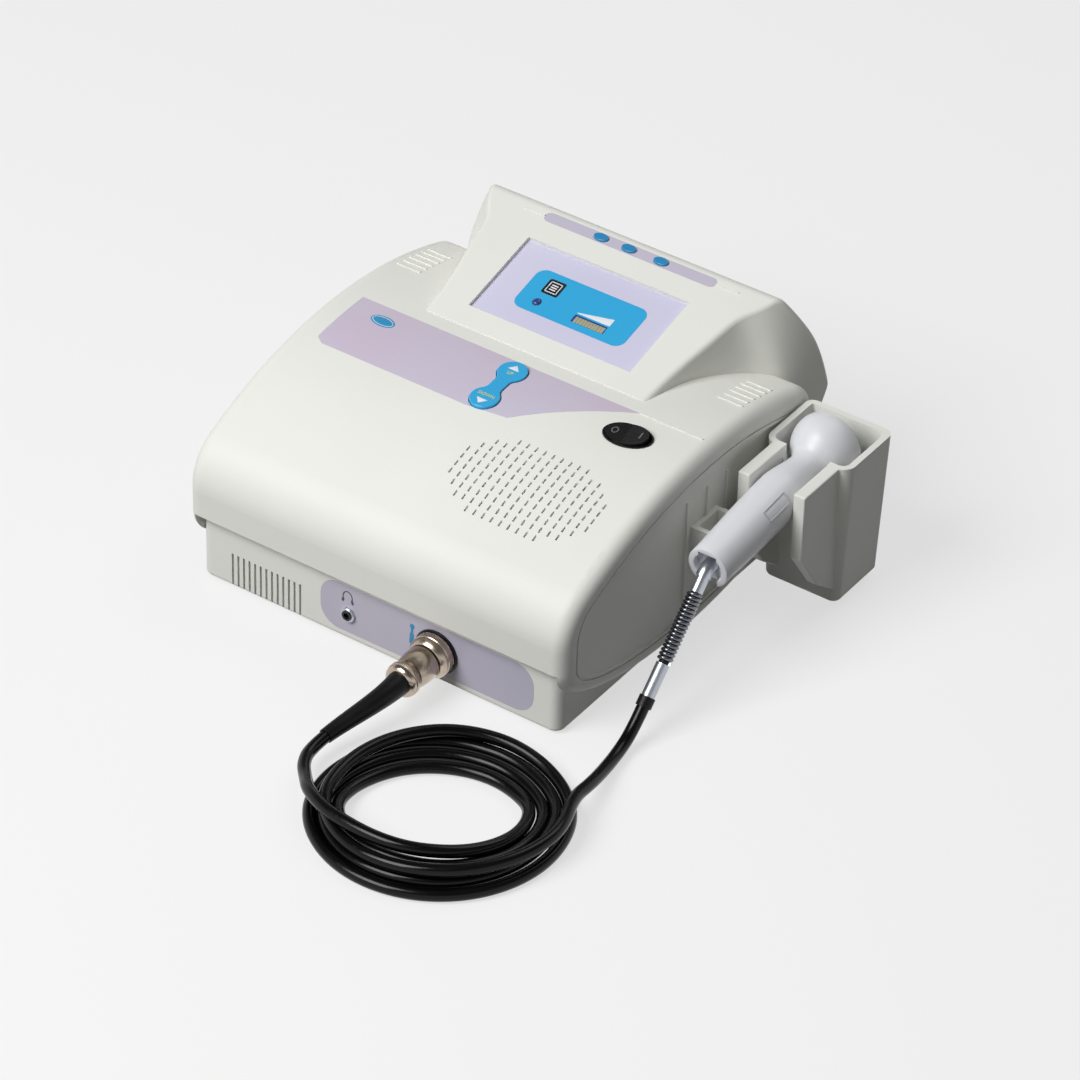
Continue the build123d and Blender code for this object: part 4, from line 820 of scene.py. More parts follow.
@dataclass
class Case(Assembly):
    """Cover, tray, films and feet, with the prints on the films."""

    crown_peak: Pair = (129.0, 112.6)
    crown_radius: float = 262.0
    crown_clearance: float = 8.0
    front_clearance: float = 6.0
    badge_at: Pair = (-82.3, 115.5)
    badge_turn: float = -4.0
    badge: Stamp = Stamp("label_badge", Outline.OVAL, (7.6, 4.2), 0.14)
    badge_ring: Stamp = Stamp("label_badge_ring", Outline.OVAL, (6.7, 3.3), 0.22, rim=0.35)
    headphone_at: Pair = (-19.0, 28.0)
    headphone_band: Stamp = Stamp("headphone_band", Outline.OVAL, (3.3, 4.2), 0.1, rim=0.7)
    band_end: float = 0.9
    ear_pads: tuple[Stamp, ...] = (
        Stamp("ear_pad_left", Outline.OVAL, (0.8, 1.5), shift=(-3.0, -2.1), turn=-14.0),
        Stamp("ear_pad_right", Outline.OVAL, (0.8, 1.5), shift=(3.0, -2.1), turn=14.0),
    )
    probe_mark_at: Pair = (22.2, 23.2)
    probe_mark: tuple[Stamp, ...] = (
        Stamp("probe_mark_ball", Outline.OVAL, (1.5, 1.7), shift=(0.2, 5.2)),
        Stamp("probe_mark_neck", Outline.PANEL, (0.75, 2.2), 0.1, corner=0.3, shift=(0.1, 2.4)),
        Stamp("probe_mark_handle", Outline.PANEL, (1.35, 3.6), corner=0.9, shift=(-0.1, -2.6), turn=-3.0),
        Stamp("probe_mark_tail", Outline.PANEL, (0.45, 1.3), 0.1, corner=0.2, shift=(-0.5, -6.6), turn=-12.0),
    )

    def crown_frame(self, node: str, x: float, y: float, turn: float = 0.0) -> Matrix:
        """Find the frame of a print on the crown.

        Args:
            node: The node that carries it.
            x: Its place across the case.
            y: Its place back from the case's front.
            turn: A turn about the crown's normal, in degrees.

        Returns:
            The frame.
        """
        peak_y, peak_z = self.crown_peak
        lean = math.asin((y - peak_y) / self.crown_radius)
        normal = Vector((0.0, math.sin(lean), math.cos(lean)))
        rise = peak_z - self.crown_radius + math.sqrt(self.crown_radius**2 - (y - peak_y) ** 2)
        above = case_point(x, y, rise) + normal * self.crown_clearance * MM
        return seat_on(self.nodes, node, above, -normal) @ Matrix.Rotation(math.radians(turn), 4, "Z")

    def front_frame(self, x: float, z: float) -> Matrix:
        """The frame of a print on the front film, its y upwards."""
        return seat_on(self.nodes, "front_label", case_point(x, -self.front_clearance, z), BACK)

    def build(self) -> None:
        """Dress the case and print its films."""
        self.dress_nodes(
            {
                HOUSING: ("upper_cover", "base_tray"),
                COVER_FILM: ("cover_label",),
                SHADED_FRONT_FILM: ("front_label",),
                RUBBER: ("rubber_feet",),
                STEEL: ("case_screws",),
                SWITCH_BLACK: ("headphone_jack", "mains_inlet"),
                BRIGHT: ("jack_nut", "inlet_pins"),
            }
        )
        self.print_badge()
        self.print_headphones()
        self.print_probe_mark()

    def print_badge(self) -> None:
        """The bare blue oval at the cover film's left end."""
        frame = self.crown_frame("cover_label", *self.badge_at, turn=self.badge_turn)
        self.add(self.badge.on(frame), PRINT_BLUE, "case", "key_blue")
        self.add(self.badge_ring.on(frame), PRINT_WHITE, "case", "label_white")

    def print_headphones(self) -> None:
        """The headphone mark above the jack: a band and two ear pads."""
        frame = self.front_frame(*self.headphone_at)
        band = self.headphone_band.on(frame)
        with editing(band):
            end = frame.translation - Vector((0.0, 0.0, self.band_end * MM))
            bpy.ops.mesh.bisect(plane_co=end, plane_no=(0.0, 0.0, -1.0), clear_outer=True, use_fill=True)
        mark = merge("headphone_mark", [band, *(pad.on(frame) for pad in self.ear_pads)])
        self.add(mark, PRINT_GREY, "case", "black_plastic")

    def print_probe_mark(self) -> None:
        """The blue probe mark beside the socket: a ball on a tapered handle."""
        frame = self.front_frame(*self.probe_mark_at)
        mark = merge("probe_mark", [part.on(frame) for part in self.probe_mark])
        self.add(mark, PRINT_BLUE, "case", "key_blue")


@dataclass
class Display(Assembly):
    """The sloping display: overlay, window, and what shows in the window."""

    origin: Point = (-26.75, 10.5, 113.0)
    slope: Point = (0.0, 0.96771, 0.25207)
    normal: Point = (0.0, -0.25207, 0.96771)
    clearance: float = 6.0
    tile_at: Pair = (-19.5, 46.5)
    tile: Stamp = Stamp("window_tile", Outline.PANEL, (5.2, 5.4), corner=1.2)
    tile_frame: Stamp = Stamp("tile_frame", Outline.PANEL, (3.7, 3.9), 0.2, corner=0.5, rim=0.55)
    stroke: Stamp = Stamp("tile_stroke", Outline.PANEL, (2.0, 0.4), 0.2, corner=0.2)
    stroke_pitch: float = 1.6
    lamp_at: Pair = (-21.9, 33.9)
    lamp_radius: float = 2.1
    lamp_flatness: float = 0.34
    lamp_ring: Stamp = Stamp("window_lamp_ring", Outline.OVAL, (2.6, 2.6), 0.25, rim=0.5)
    bar_at: Pair = (12.4, 32.9)
    bar_half: Pair = (9.4, 2.1)
    bar_segments: int = 10
    bezel: Stamp = Stamp("level_bar_bezel", Outline.PANEL, (10.3, 2.7), 0.1, corner=0.4)
    bezel_shift: Pair = (-0.4, 0.5)
    wedge_at: Pair = (12.3, 39.8)
    wedge: Stamp = Stamp("level_wedge", Outline.PANEL, (10.3, 2.6), taper=0.08)

    def frame_at(self, x: float, along: float) -> Matrix:
        """Find the frame of a print in the window, its y up the slope.

        Args:
            x: Its place across the window.
            along: Its place up the slope.

        Returns:
            The frame.
        """
        face = Vector(self.origin) + RIGHT * x + Vector(self.slope) * along
        above = (face + Vector(self.normal) * self.clearance) * MM
        return seat_on(self.nodes, "display_window", above, -Vector(self.normal))

    def build(self) -> None:
        """Dress the display and fill its window."""
        self.dress_nodes(
            {
                OVERLAY: ("display_panel",),
                WINDOW: ("display_window",),
                INNER: ("display_module",),
                STRIP_FILM: ("button_strip",),
                KEY_BLUE: ("hood_key_left", "hood_key_middle", "hood_key_right"),
                BOARD: ("hood_key_board",),
            }
        )
        self.print_tile()
        self.build_lamp()
        self.print_bar()
        self.add(self.wedge.on(self.frame_at(*self.wedge_at)), PRINT_WHITE, "case", "label_white")

    def print_tile(self) -> None:
        """The dark tile with a pale frame and three plain strokes in it."""
        frame = self.frame_at(*self.tile_at)
        self.add(self.tile.on(frame), PRINT_BLACK, "case", "black_plastic")
        strokes = (replace(self.stroke, shift=(0.0, step * self.stroke_pitch)) for step in (-1, 0, 1))
        marks = merge("window_tile_marks", [stamp.on(frame) for stamp in (self.tile_frame, *strokes)])
        self.add(marks, PRINT_WHITE, "case", "label_white")

    def build_lamp(self) -> None:
        """The small unlit lamp: a low dome in a thin ring."""
        frame = self.frame_at(*self.lamp_at)
        clear_selection()
        bpy.ops.mesh.primitive_uv_sphere_add(segments=40, ring_count=20, radius=self.lamp_radius * MM)
        dome = named("window_lamp")
        with editing(dome):
            bpy.ops.mesh.bisect(
                plane_co=(0.0, 0.0, 0.0), plane_no=(0.0, 0.0, -1.0), clear_outer=True, use_fill=True
            )
            bpy.ops.mesh.select_all(action="SELECT")
            bpy.ops.transform.resize(value=(1.0, 1.0, self.lamp_flatness))
        self.add(settle(dome, frame), LAMP_BLUE, "case", "black_plastic")
        self.add(self.lamp_ring.on(frame), PRINT_GREY, "case", "black_plastic")

    def print_bar(self) -> None:
        """The level bar: a dark bezel round a row of tan segments."""
        frame = self.frame_at(*self.bar_at)
        shift = Matrix.Translation(Vector((*self.bezel_shift, 0.0)) * MM)
        self.add(self.bezel.on(frame @ shift), LAMP_BLUE, "case", "display_window")
        pitch = 2 * self.bar_half[0] / self.bar_segments
        segment = Stamp("level_segment", Outline.PANEL, (0.46 * pitch, self.bar_half[1]), 0.2, corner=0.15)
        places = ((index + 0.5) * pitch - self.bar_half[0] for index in range(self.bar_segments))
        bar = merge("level_bar", [replace(segment, shift=(place, 0.0)).on(frame) for place in places])
        self.add(bar, BAR_TAN, "case", "label_white")


@dataclass
class Controls(Assembly):
    """The power switch and the volume rocker on the crown."""

    crown: Case | None = None
    arrow: Stamp = Stamp("rocker_arrow", Outline.TRIANGLE, (3.9, 2.6))
    arrows: tuple[tuple[str, float, float], ...] = (
        ("rocker_arrow_up", 120.3, 0.0),
        ("rocker_arrow_down", 89.4, 180.0),
    )
    words: tuple[tuple[str, str, float], ...] = (("rocker_up", "UP", 115.6), ("rocker_down", "DOWN", 94.6))
    word_size: float = 3.0
    power_at: Pair = (79.7, 108.0)
    power_turn: float = 8.0
    power_marks: tuple[tuple[float, Stamp], ...] = (
        (-7.4, Stamp("power_off_mark", Outline.OVAL, (1.9, 2.4), rim=0.55)),
        (7.4, Stamp("power_on_mark", Outline.PANEL, (0.4, 2.4), corner=0.2)),
    )

    def build(self) -> None:
        """Dress and mark both controls."""
        self.dress_nodes(
            {
                SWITCH_BLACK: ("power_bezel", "power_key"),
                INNER: ("power_switch",),
                ROCKER_BLUE: ("volume_rocker",),
                STEEL: ("rocker_pin",),
                BOARD: ("volume_board",),
            }
        )
        for name, y, turn in self.arrows:
            arrow = replace(self.arrow, name=name).on(self.crown.crown_frame("volume_rocker", 0.0, y, turn))
            self.add(arrow, PRINT_WHITE, "volume_key", "label_white")
        for name, words, y in self.words:
            frame = self.crown.crown_frame("volume_rocker", 0.0, y)
            word = lettering(name, words, self.word_size, frame)
            self.add(word, PRINT_YELLOW, "volume_key", "label_white")
        turn = math.radians(self.power_turn)
        for reach, mark in self.power_marks:
            x = self.power_at[0] + reach * math.cos(turn)
            y = self.power_at[1] + reach * math.sin(turn)
            frame = self.crown.crown_frame("power_key", x, y, self.power_turn)
            self.add(mark.on(frame), PRINT_DIM, "power_button", "label_white")


@dataclass
class ProbeUnit(Assembly):
    """The hand-held probe and its strain relief."""

    ball_at: Point = (148.0, 193.0, 86.0)
    slope: float = 6.4
    ball_radius: float = 19.0
    ball_steps: int = 22
    ball_ends: float = 41.0
    seat: float = -5.0
    bore: float = 2.0
    waist: Profile = ((17.4, 10.1), (21.0, 9.3), (26.0, 9.75), (32.0, 11.0), (39.0, 12.4))
    grip_start: float = 46.0
    grip_middle: float = 70.0
    grip_radius: float = 13.0
    grip_end: float = 103.0
    end_radius: float = 12.0
    cup_end: float = 112.0
    cup_wall: float = 3.8
    cup_floor: Pair = (4.6, 5.0)
    outer_lip: Profile = ((-0.9, -0.1), (-0.3, -0.35), (0.0, -0.9))
    inner_lip: Profile = ((0.0, 0.6), (-0.3, 0.15), (-0.8, 0.0))
    notch: float = 5.6
    notch_at: Pair = (-11.0, 111.0)
    notch_reach: float = 20.0
    panel_middle: float = 62.0
    panel_half: Pair = (9.8, 4.0)
    panel_lean: float = 41.0
    panel_lift: float = 2.0
    panel_rim: float = 0.75
    panel_cells: int = 24
    panel_thickness: float = 0.7
    relief_x: float = 148.0
    relief_start: Pair = (81.102, 73.449)
    relief_drop: Pair = (-0.70091, -0.71325)
    spring_from: float = 13.0
    spring_length: float = 40.0
    spring_radius: float = 4.3
    wire_radius: float = 1.06
    coils: int = 17
    steps_per_coil: int = 28
    core_radius: float = 2.7

    def axis_frame(self, along: float = 0.0, lean: float = 0.0) -> Matrix:
        """The frame on the probe's axis, z running from the ball to the cord end.

        Args:
            along: Distance from the ball's middle, in millimetres.
            lean: Turn about the axis, in degrees; x points away from the case at 0.

        Returns:
            The frame.
        """
        slope = math.radians(self.slope)
        down = Vector((0.0, -math.cos(slope), -math.sin(slope)))
        frame = place_at(case_point(*self.ball_at), RIGHT, down) @ Matrix.Translation((0.0, 0.0, along * MM))
        return frame @ Matrix.Rotation(math.radians(lean), 4, "Z")

    def shell_profile(self) -> list[Pair]:
        """Draw the shell's outline: the ball, the waist behind it and the grip.

        Returns:
            Its stations along the probe's axis.
        """
        start, stop = math.acos(self.seat / self.ball_radius), math.radians(self.ball_ends)
        arc = [start + (stop - start) * index / self.ball_steps for index in range(self.ball_steps + 1)]
        ball = [(self.ball_radius * math.cos(angle), self.ball_radius * math.sin(angle)) for angle in arc]
        grip = [(self.grip_start, self.grip_radius), (self.grip_middle, self.grip_radius)]
        line = smooth_stations([ball[-1], *self.waist, *grip, (self.grip_end, self.end_radius)])
        return [(self.seat, self.bore), *ball, *line[1:], (self.grip_end, self.bore)]

    def shell(self) -> None:
        """The one-piece shell of ball, waist and grip, with the framed panel on its side."""
        body = settle(turned("probe_shell", self.shell_profile()), self.axis_frame(), angle=40.0)
        panel = self.panel(body)
        self.add(body, PROBE_SHELL, "probe", "probe_shell")
        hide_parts("probe_head", "probe_handle")
        self.add(panel, PAD, "probe", "probe_pad")
        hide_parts("probe_pad")

    def panel(self, body: Piece) -> Piece:
        """Model the raised rectangular frame on the grip, laid onto its curve.

        Args:
            body: The shell it lies on.

        Returns:
            The frame in place.
        """
        clear_selection()
        bpy.ops.mesh.primitive_grid_add(
            x_subdivisions=self.panel_cells, y_subdivisions=self.panel_cells, size=2 * MM
        )
        frame = named("probe_panel_frame")
        with editing(frame):
            bpy.ops.transform.resize(value=(*self.panel_half, 1.0))
        width, length = ((half - self.panel_rim) * MM for half in self.panel_half)
        with editing(frame, lambda face: abs(face.center.x) < width and abs(face.center.y) < length):
            bpy.ops.mesh.delete(type="FACE")
        out = Matrix.Translation(((self.grip_radius + self.panel_lift) * MM, 0.0, 0.0))
        upright = Matrix.Rotation(-math.pi / 2, 4, "Y")
        frame.matrix_world = self.axis_frame(self.panel_middle, self.panel_lean) @ out @ upright
        modify(frame, "Wrap", "SHRINKWRAP", target=body, offset=0.0)
        bake_place()
        modify(frame, "Thickness", "SOLIDIFY", thickness=self.panel_thickness * MM, offset=0.0)
        modify(frame, "Soft edge", "BEVEL", width=0.12 * MM, segments=2, angle_limit=math.radians(50.0))
        bpy.ops.object.shade_smooth_by_angle(angle=math.radians(40.0))
        return frame

    def end_cup(self) -> None:
        """The thick-walled cup at the cord end, notched so that the cord can bend down."""
        rim, outer, inner = self.cup_end, self.end_radius, self.end_radius - self.cup_wall
        floor, floor_edge = (self.grip_end + depth for depth in self.cup_floor)
        profile = [
            (self.grip_end, self.bore),
            (self.grip_end, outer),
            *((rim + back, outer + step) for back, step in self.outer_lip),
            *((rim + back, inner + step) for back, step in self.inner_lip),
            (floor_edge, inner - 0.2),
            (floor, self.bore),
        ]
        cup = turned("probe_end_cup", profile)
        reach = self.notch_reach
        tool_profile = [(-reach, 1.0), (-reach, self.notch), (reach, self.notch), (reach, 1.0)]
        notch = turned("notch_tool", tool_profile, segments=48)
        across, along = self.notch_at
        place = Matrix.Translation((0.0, across * MM, along * MM))
        notch.matrix_world = place @ Matrix.Rotation(math.pi / 2, 4, "X")
        cut_with(cup, notch)
        self.add(settle(cup, self.axis_frame(), angle=30.0), PROBE_SHELL, "probe", "probe_shell")
        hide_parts("probe_collar")

    def build(self) -> None:
        """Dress the probe and wind its spring."""
        self.shell()
        self.end_cup()
        self.dress_nodes(
            {
                LENS: ("probe_lens",),
                BRIGHT: ("probe_gland", "ferrule_upper", "ferrule_lower"),
                RUBBER: ("cord_sleeve",),
            }
        )
        self.spring()

    def relief_frame(self, lift: float = 0.0) -> Matrix:
        """Find the frame on the relief's line where the spring starts, z pointing away from the probe.

        Args:
            lift: How much further along the line it lies, in millimetres.

        Returns:
            The frame.
        """
        y, z = (start + drop * self.spring_from for start, drop in zip(self.relief_start, self.relief_drop))
        frame = place_at(case_point(self.relief_x, y, z), RIGHT, Vector((0.0, *self.relief_drop)))
        return frame @ Matrix.Translation((0.0, 0.0, lift * MM))

    def spring(self) -> None:
        """The close-wound spring: a wire section screwed along the relief."""
        middle = self.spring_radius - self.wire_radius
        clear_selection()
        bpy.ops.mesh.primitive_circle_add(
            vertices=12,
            radius=self.wire_radius * MM,
            location=(middle * MM, 0.0, 0.0),
            rotation=(math.pi / 2, 0.0, 0.0),
        )
        wire = named("relief_spring_wire")
        bake_place()
        steps = self.steps_per_coil * self.coils
        modify(
            wire,
            "Winding",
            "SCREW",
            angle=2 * math.pi * self.coils,
            screw_offset=(self.spring_length - 2 * self.wire_radius) * MM,
            steps=steps,
            render_steps=steps,
            use_merge_vertices=False,
        )
        with editing(wire, lambda face: False):
            bpy.ops.mesh.select_mode(type="EDGE")
            bpy.ops.mesh.select_non_manifold()
            bpy.ops.mesh.edge_face_add()
            face_outwards()
        settle(wire, self.relief_frame(self.wire_radius), angle=60.0)
        core = self.core()
        piece = self.add(wire, SPRING, "probe", "spring_steel")
        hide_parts("relief_spring")
        self.add(core, RUBBER, "probe", "rubber_black")

    def core(self) -> Piece:
        """Model the cord inside the spring as a plain tube.

        Returns:
            The tube in place.
        """
        length = self.spring_length * MM
        clear_selection()
        bpy.ops.mesh.primitive_cylinder_add(
            vertices=40, radius=self.core_radius * MM, depth=length, location=(0.0, 0.0, 0.5 * length)
        )
        tube = named("relief_core")
        bake_place()
        with editing(tube, lambda face: abs(face.normal.z) > 0.9):
            bpy.ops.mesh.inset(thickness=0.3 * MM)
            face_outwards()
        return settle(tube, self.relief_frame())


@dataclass
class Holder(Assembly):
    """The open cup and the cradle that carry the probe."""

    def build(self) -> None:
        """Dress both."""
        self.dress_nodes({HOUSING: ("probe_holder", "handle_cradle")})


@dataclass
class Plug(Assembly):
    """The round connector, its boot and the socket behind it.

    Every profile lists the distance in front of the case and the radius there.
    """

    middle: Pair = (38.2, 19.8)
    gasket: Profile = ((0.1, 8.4), (0.1, 12.9), (0.9, 13.1), (1.4, 12.8), (1.5, 12.2), (1.5, 8.4))
    ring: Profile = (
        (1.7, 8.2), (1.7, 11.7), (2.1, 12.2), (5.6, 12.2), (6.0, 11.8), (6.5, 11.8),
        (6.9, 12.1), (7.6, 12.0), (8.9, 11.2), (10.2, 10.4), (10.5, 9.9), (10.5, 7.8),
    )
    barrel: Profile = (
        (1.2, 6.0), (9.4, 6.2), (9.6, 7.4), (10.9, 7.6), (11.1, 9.0), (11.5, 9.6), (12.4, 9.9),
        (17.5, 9.8), (22.0, 9.2), (24.4, 8.4), (24.7, 7.6), (25.9, 7.6), (25.9, 2.0),
    )
    back_nut: Profile = (
        (26.0, 2.0), (26.0, 8.3), (26.6, 9.1), (27.8, 9.7), (29.6, 9.7), (29.9, 9.3),
        (30.4, 9.3), (30.7, 9.6), (31.8, 9.3), (32.9, 8.5), (33.5, 7.5), (33.5, 2.0),
    )
    knurl_band: Pair = (2.3, 5.4)
    knurl_radius: float = 11.0
    knurl_pitch: float = 3.75
    knurl_inset: float = 0.1
    knurl_depth: float = 0.18

    def build(self) -> None:
        """Turn the washer, coupling ring, barrel and back nut, and dress the boot and the socket."""
        start = case_point(self.middle[0], 0.0, self.middle[1])
        axis = place_at(start, RIGHT, -BACK)
        for name, profile, finish, body, node in (
            ("plug_washer", self.gasket, RUBBER, "case", "socket_gasket"),
            ("plug_grip_ring", self.ring, PLUG_METAL, "coupling_ring", "plug_coupling_ring"),
            ("plug_barrel", self.barrel, PLUG_METAL, "case", "plug_shell"),
            ("plug_clamp_nut", self.back_nut, PLUG_METAL, "case", "plug_back_nut"),
        ):
            piece = turned(name, profile)
            if body == "coupling_ring":
                self.knurl(piece)
            slot = "rubber_black" if finish is RUBBER else "plug_metal"
            self.add(settle(piece, axis, angle=28.0), finish, body, slot)
            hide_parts(node)
        self.dress_nodes({RUBBER: ("plug_boot",), STEEL: ("probe_socket", "socket_nut")})

    def knurl(self, ring: Piece) -> None:
        """Press a shallow groove into every other facet of the ring's grip.

        Args:
            ring: The coupling ring, not yet in place.
        """
        low, high = (end * MM for end in self.knurl_band)

        def grooved(face: bpy.types.MeshPolygon) -> bool:
            """Whether a facet lies outside, in the grip's band, and has an even place in it."""
            angle = math.degrees(math.atan2(face.center.y, face.center.x)) + 180.0
            upright = abs(face.normal.z) < 0.1 and face.center.xy.length > self.knurl_radius * MM
            return upright and low < face.center.z < high and round(angle / self.knurl_pitch) % 2 == 0

        with editing(ring, grooved):
            inset, depth = self.knurl_inset * MM, -self.knurl_depth * MM
            bpy.ops.mesh.inset(thickness=inset, depth=depth, use_individual=True)


@dataclass
class Inside(Assembly):
    """What is inside the case."""

    def build(self) -> None:
        """Dress the boards, the speaker and the power parts."""
        self.dress_nodes(
            {
                INNER: ("speaker_driver",),
                STEEL: ("speaker_magnet", "power_transformer"),
                BOARD: ("main_board",),
                SWITCH_BLACK: ("board_components",),
            }
        )


@dataclass
class Cord(Assembly):
    """The probe's cord, from the probe's sleeve through its loose coil to the plug's boot.

    Attributes:
        radius: Half the cord's thickness, in millimetres.
        probe_run: Points from the sleeve to the coil.
        plug_run: Points from the coil to the boot, listed from the boot.
        middle: The coil's middle.
        turns: Angle, radius and height along the coil, from the plug's side.
        points_per_turn: Points of the line in one turn.
        fan: How far the turns are drawn in on the case's side, as a share of their distance from
            fan_middle.
        fan_turn: Where this begins, in degrees; it is strongest a quarter turn further.
        fan_middle: The radius that stays where it is.
        plug_names: The turned pieces of the plug; not used.
    """

    radius: float = 3.5
    probe_run: tuple[Point, ...] = (
        (121.25, -100.08, 18.32), (121.25, -109.89, 8.33), (122.25, -123.0, 4.2),
        (125.25, -140.0, 5.5), (128.75, -158.0, 9.5), (130.25, -175.0, 13.0),
    )
    plug_run: tuple[Point, ...] = (
        (1.65, -209.0, 12.0), (0.44, -220.85, 10.55), (4.85, -232.0, 10.8), (13.25, -241.0, 11.5),
    )
    middle: Pair = (74.25, -214.0)
    turns: tuple[Point, ...] = (
        (216.0, 63.0, 15.8), (231.0, 58.2, 18.0), (250.0, 52.0, 18.7), (275.0, 49.0, 18.8),
        (310.0, 48.0, 17.0), (345.0, 47.2, 12.0), (380.0, 46.8, 6.5), (410.0, 46.8, 3.9),
        (450.0, 47.6, 3.6), (545.0, 48.6, 3.7), (600.0, 49.3, 8.3), (640.0, 50.2, 10.4),
        (680.0, 51.6, 9.6), (705.0, 52.5, 7.5), (740.0, 53.7, 4.4), (765.0, 54.0, 3.6),
        (965.0, 57.0, 3.6), (1000.0, 57.9, 6.0), (1095.0, 60.0, 6.0), (1130.0, 61.0, 3.6),
        (1330.0, 64.0, 3.6), (1440.0, 66.8, 3.6), (1495.0, 67.9, 3.8), (1525.0, 66.0, 8.0),
        (1555.0, 63.6, 10.3), (1600.0, 59.5, 11.0), (1640.0, 56.0, 10.8), (1680.0, 55.8, 11.0),
        (1715.0, 57.0, 12.5), (1745.0, 59.5, 14.6), (1775.0, 63.0, 15.6), (1812.0, 67.4, 15.4),
    )
    points_per_turn: int = 20
    fan: float = 0.42
    fan_turn: float = 34.0
    fan_middle: float = 84.0
    plug_names: tuple[str, ...] = ("plug_clamp_nut", "plug_barrel", "plug_grip_ring")

    def station(self, angle: float) -> Pair:
        """Read the coil's table between two of its rows.

        Args:
            angle: An angle along the coil, in degrees.

        Returns:
            Radius and height of the line there.
        """
        for low, high in zip(self.turns, self.turns[1:]):
            if angle <= high[0]:
                share = (angle - low[0]) / (high[0] - low[0])
                return low[1] + (high[1] - low[1]) * share, low[2] + (high[2] - low[2]) * share
        return self.turns[-1][1], self.turns[-1][2]

    def coil(self) -> list[Point]:
        """Draw the coil.

        Returns:
            Its points, from the plug's side to the probe's.
        """
        first, last = self.turns[0][0], self.turns[-1][0]
        count = round((last - first) / 360 * self.points_per_turn)
        start = math.radians(self.fan_turn)
        points = []
        for index in range(count + 1):
            angle = first + (last - first) * index / count
            radius, height = self.station(angle)
            turn = math.radians(angle)
            inward = max(0.0, math.sin(turn - start)) * (radius - self.fan_middle) * self.fan
            radius = (radius + inward) / math.cos(math.pi / self.points_per_turn)
            x, y = radius * math.cos(turn), radius * math.sin(turn)
            points.append((self.middle[0] + x, self.middle[1] + y, height))
        return points

    def build(self) -> None:
        """Lay the cord as one smooth spline."""
        route = [*self.plug_run, *self.coil(), *reversed(self.probe_run)]
        route.reverse()
        clear_selection()
        bpy.ops.curve.primitive_nurbs_path_add()
        line = named("probe_cord")
        line.data.splines.clear()
        spline = line.data.splines.new("NURBS")
        spline.points.add(len(route) - 1)
        for point, place in zip(spline.points, route):
            point.co = (*(Vector(place) * MM), 1.0)
        spline.order_u = 3
        spline.use_endpoint_u = True
        spline.resolution_u = 6
        line.data.dimensions = "3D"
        line.data.bevel_depth = self.radius * MM
        line.data.bevel_resolution = 5
        line.data.use_fill_caps = True
        self.add(line, CORD_SKIN, "case", "cord_rubber")
        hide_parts("cord_run_probe", "cord_run_plug", "cord_coil")


# ---------------------------------------------------------------- studio


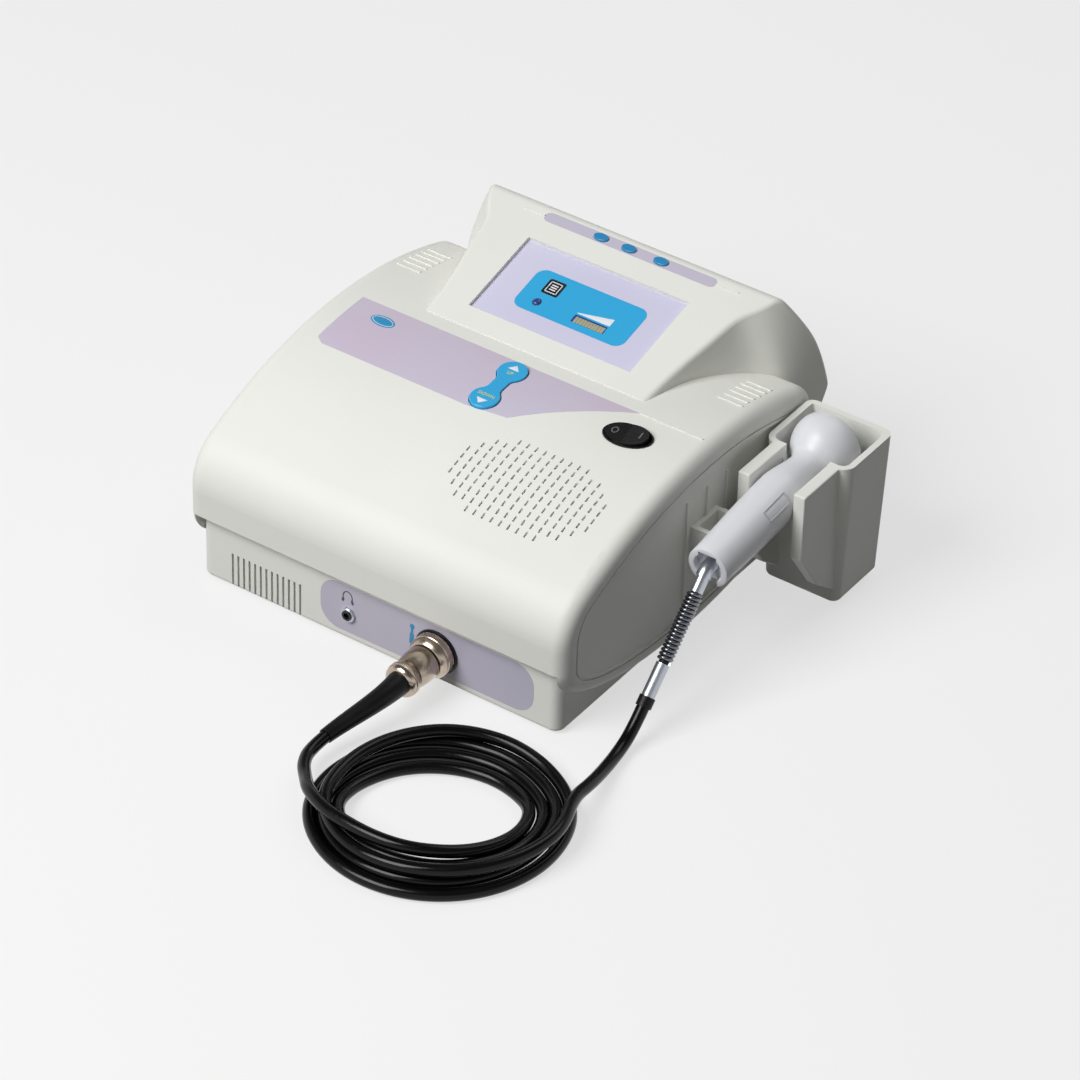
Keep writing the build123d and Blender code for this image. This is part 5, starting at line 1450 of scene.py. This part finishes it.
@dataclass
class Studio:
    """Camera, lamps, floor and background."""

    camera_at: Point = (1203.51, -1804.93, 1628.91)
    azimuth: float = 33.966
    elevation: float = 36.739
    roll: float = 1.767
    lens: float = 169.4
    paper: Shade = (246, 246, 246)
    room_light: float = 0.12
    ceiling: float = 0.12
    horizon: Pair = (0.2, 0.6)
    floor_size: float = 16.0
    floor_glow: float = 0.7
    floor_tone: float = 0.9
    floor_bounce: float = 0.16
    lamps: tuple[tuple[str, Point, float, float], ...] = (
        ("Key lamp", (-0.63, -1.54, 1.75), 1.3, 52.0),
        ("Back lamp", (0.2, 1.2, 1.9), 1.2, 8.0),
    )
    aim: Point = (0.0, 0.0, 0.05)

    def camera(self) -> None:
        """Set the camera."""
        turn, tilt, roll = (math.radians(value) for value in (self.azimuth, self.elevation, self.roll))
        ahead = Vector((-math.sin(turn) * math.cos(tilt), math.cos(turn) * math.cos(tilt), -math.sin(tilt)))
        right = Vector((math.cos(turn), math.sin(turn), 0.0))
        up = right.cross(ahead)
        across = math.cos(roll) * right + math.sin(roll) * up
        upward = -math.sin(roll) * right + math.cos(roll) * up
        data = bpy.data.cameras.new("Camera")
        data.lens = self.lens
        data.sensor_width = 36.0
        data.clip_end = 50.0
        camera = bpy.data.objects.new("Camera", data)
        frame = Matrix((across, upward, -ahead)).transposed().to_4x4()
        frame.translation = Vector(self.camera_at) * MM
        camera.matrix_world = frame
        bpy.context.scene.collection.objects.link(camera)
        bpy.context.scene.camera = camera

    def lamp(self, name: str, place: Point, size: float, power: float) -> None:
        """Hang one soft lamp.

        Args:
            name: Its name.
            place: Where it hangs, in metres.
            size: The side of its square face, in metres.
            power: Its power in watts.
        """
        data = bpy.data.lights.new(name, "AREA")
        data.shape = "SQUARE"
        data.size = size
        data.energy = power
        lamp = bpy.data.objects.new(name, data)
        lamp.location = place
        lamp.rotation_euler = (Vector(self.aim) - Vector(place)).to_track_quat("-Z", "Y").to_euler()
        bpy.context.scene.collection.objects.link(lamp)

    @staticmethod
    def any_ray(tree: Tree, *kinds: str) -> Socket:
        """Tell some kinds of ray from the rest.

        Args:
            tree: The tree it goes in.
            kinds: Names of the light path's outputs.

        Returns:
            A factor that is 1 for these rays and 0 for the rest.
        """
        path = add_node(tree, "ShaderNodeLightPath").outputs
        total = path[kinds[0]]
        for name in kinds[1:]:
            join = add_node(tree, "ShaderNodeMath", {0: total, 1: path[name]}, operation="MAXIMUM")
            total = join.outputs[0]
        return total

    @staticmethod
    def blend(tree: Tree, share: Socket | float, first: Socket, second: Socket) -> Socket:
        """Mix two shaders, share being the second one's part."""
        return add_node(tree, "ShaderNodeMixShader", {0: share, 1: first, 2: second}).outputs[0]

    def floor(self) -> None:
        """Lay the pale floor, which keeps the object's shadow."""
        clear_selection()
        bpy.ops.mesh.primitive_plane_add(size=self.floor_size)
        floor = named("floor")
        with editing(floor):
            bpy.ops.mesh.subdivide(number_cuts=3)
        made = bpy.data.materials.new("Paper floor")
        made.use_nodes = True
        tree = made.node_tree
        tree.nodes.clear()
        matt, dim = (
            add_node(tree, "ShaderNodeBsdfDiffuse", {"Color": (tone, tone, tone, 1.0)}).outputs[0]
            for tone in (self.floor_tone, self.floor_bounce)
        )
        inputs = {"Color": linear(self.paper), "Strength": 1.0}
        glow = add_node(tree, "ShaderNodeEmission", inputs).outputs[0]
        mirrored = self.any_ray(tree, "Is Glossy Ray", "Is Transmission Ray")
        bounced = self.blend(tree, mirrored, dim, glow)
        seen = self.blend(tree, self.floor_glow, matt, glow)
        surface = self.blend(tree, self.any_ray(tree, "Is Camera Ray"), bounced, seen)
        add_node(tree, "ShaderNodeOutputMaterial", {"Surface": surface})
        floor.data.materials.append(made)

    def world(self) -> None:
        """Light the room evenly and faintly, and show paper at the horizon below a dim ceiling."""
        world = bpy.data.worlds.new("Room")
        bpy.context.scene.world = world
        world.use_nodes = True
        tree = world.node_tree
        tree.nodes.clear()
        inputs = {"Color": (1.0, 1.0, 1.0, 1.0), "Strength": self.room_light}
        room = add_node(tree, "ShaderNodeBackground", inputs).outputs[0]
        place = add_node(tree, "ShaderNodeTexCoord").outputs["Generated"]
        rise = add_node(tree, "ShaderNodeSeparateXYZ", {0: place}).outputs["Z"]
        low, high = self.horizon
        inputs = {"Value": rise, "From Min": low, "From Max": high}
        climb = add_node(tree, "ShaderNodeMapRange", inputs, interpolation_type="SMOOTHSTEP")
        ceiling = (self.ceiling, self.ceiling, self.ceiling, 1.0)
        inputs = {"Factor": climb.outputs["Result"], "A": linear(self.paper), "B": ceiling}
        wall = add_node(tree, "ShaderNodeMix", inputs, data_type="RGBA").outputs["Result"]
        paper = add_node(tree, "ShaderNodeBackground", {"Color": wall}).outputs[0]
        seen = self.any_ray(tree, "Is Camera Ray", "Is Glossy Ray", "Is Transmission Ray")
        add_node(tree, "ShaderNodeOutputWorld", {"Surface": self.blend(tree, seen, room, paper)})

    def build(self) -> None:
        """Set up the whole studio."""
        self.camera()
        self.floor()
        self.world()
        for lamp in self.lamps:
            self.lamp(*lamp)
        bpy.context.scene.view_settings.view_transform = "Standard"
        LOG.info("studio ready")


def main() -> None:
    """Build the whole model's looks."""
    logging.basicConfig(level=logging.INFO, format="%(message)s")
    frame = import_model()
    nodes, paint = frame["nodes"], Paint()
    Studio().build()
    Plug(nodes, paint).build()
    Cord(nodes, paint).build()
    case = Case(nodes, paint)
    case.build()
    Display(nodes, paint).build()
    Controls(nodes, paint, crown=case).build()
    ProbeUnit(nodes, paint).build()
    Holder(nodes, paint).build()
    Inside(nodes, paint).build()
    clear_selection()


if __name__ == "__main__":
    main()
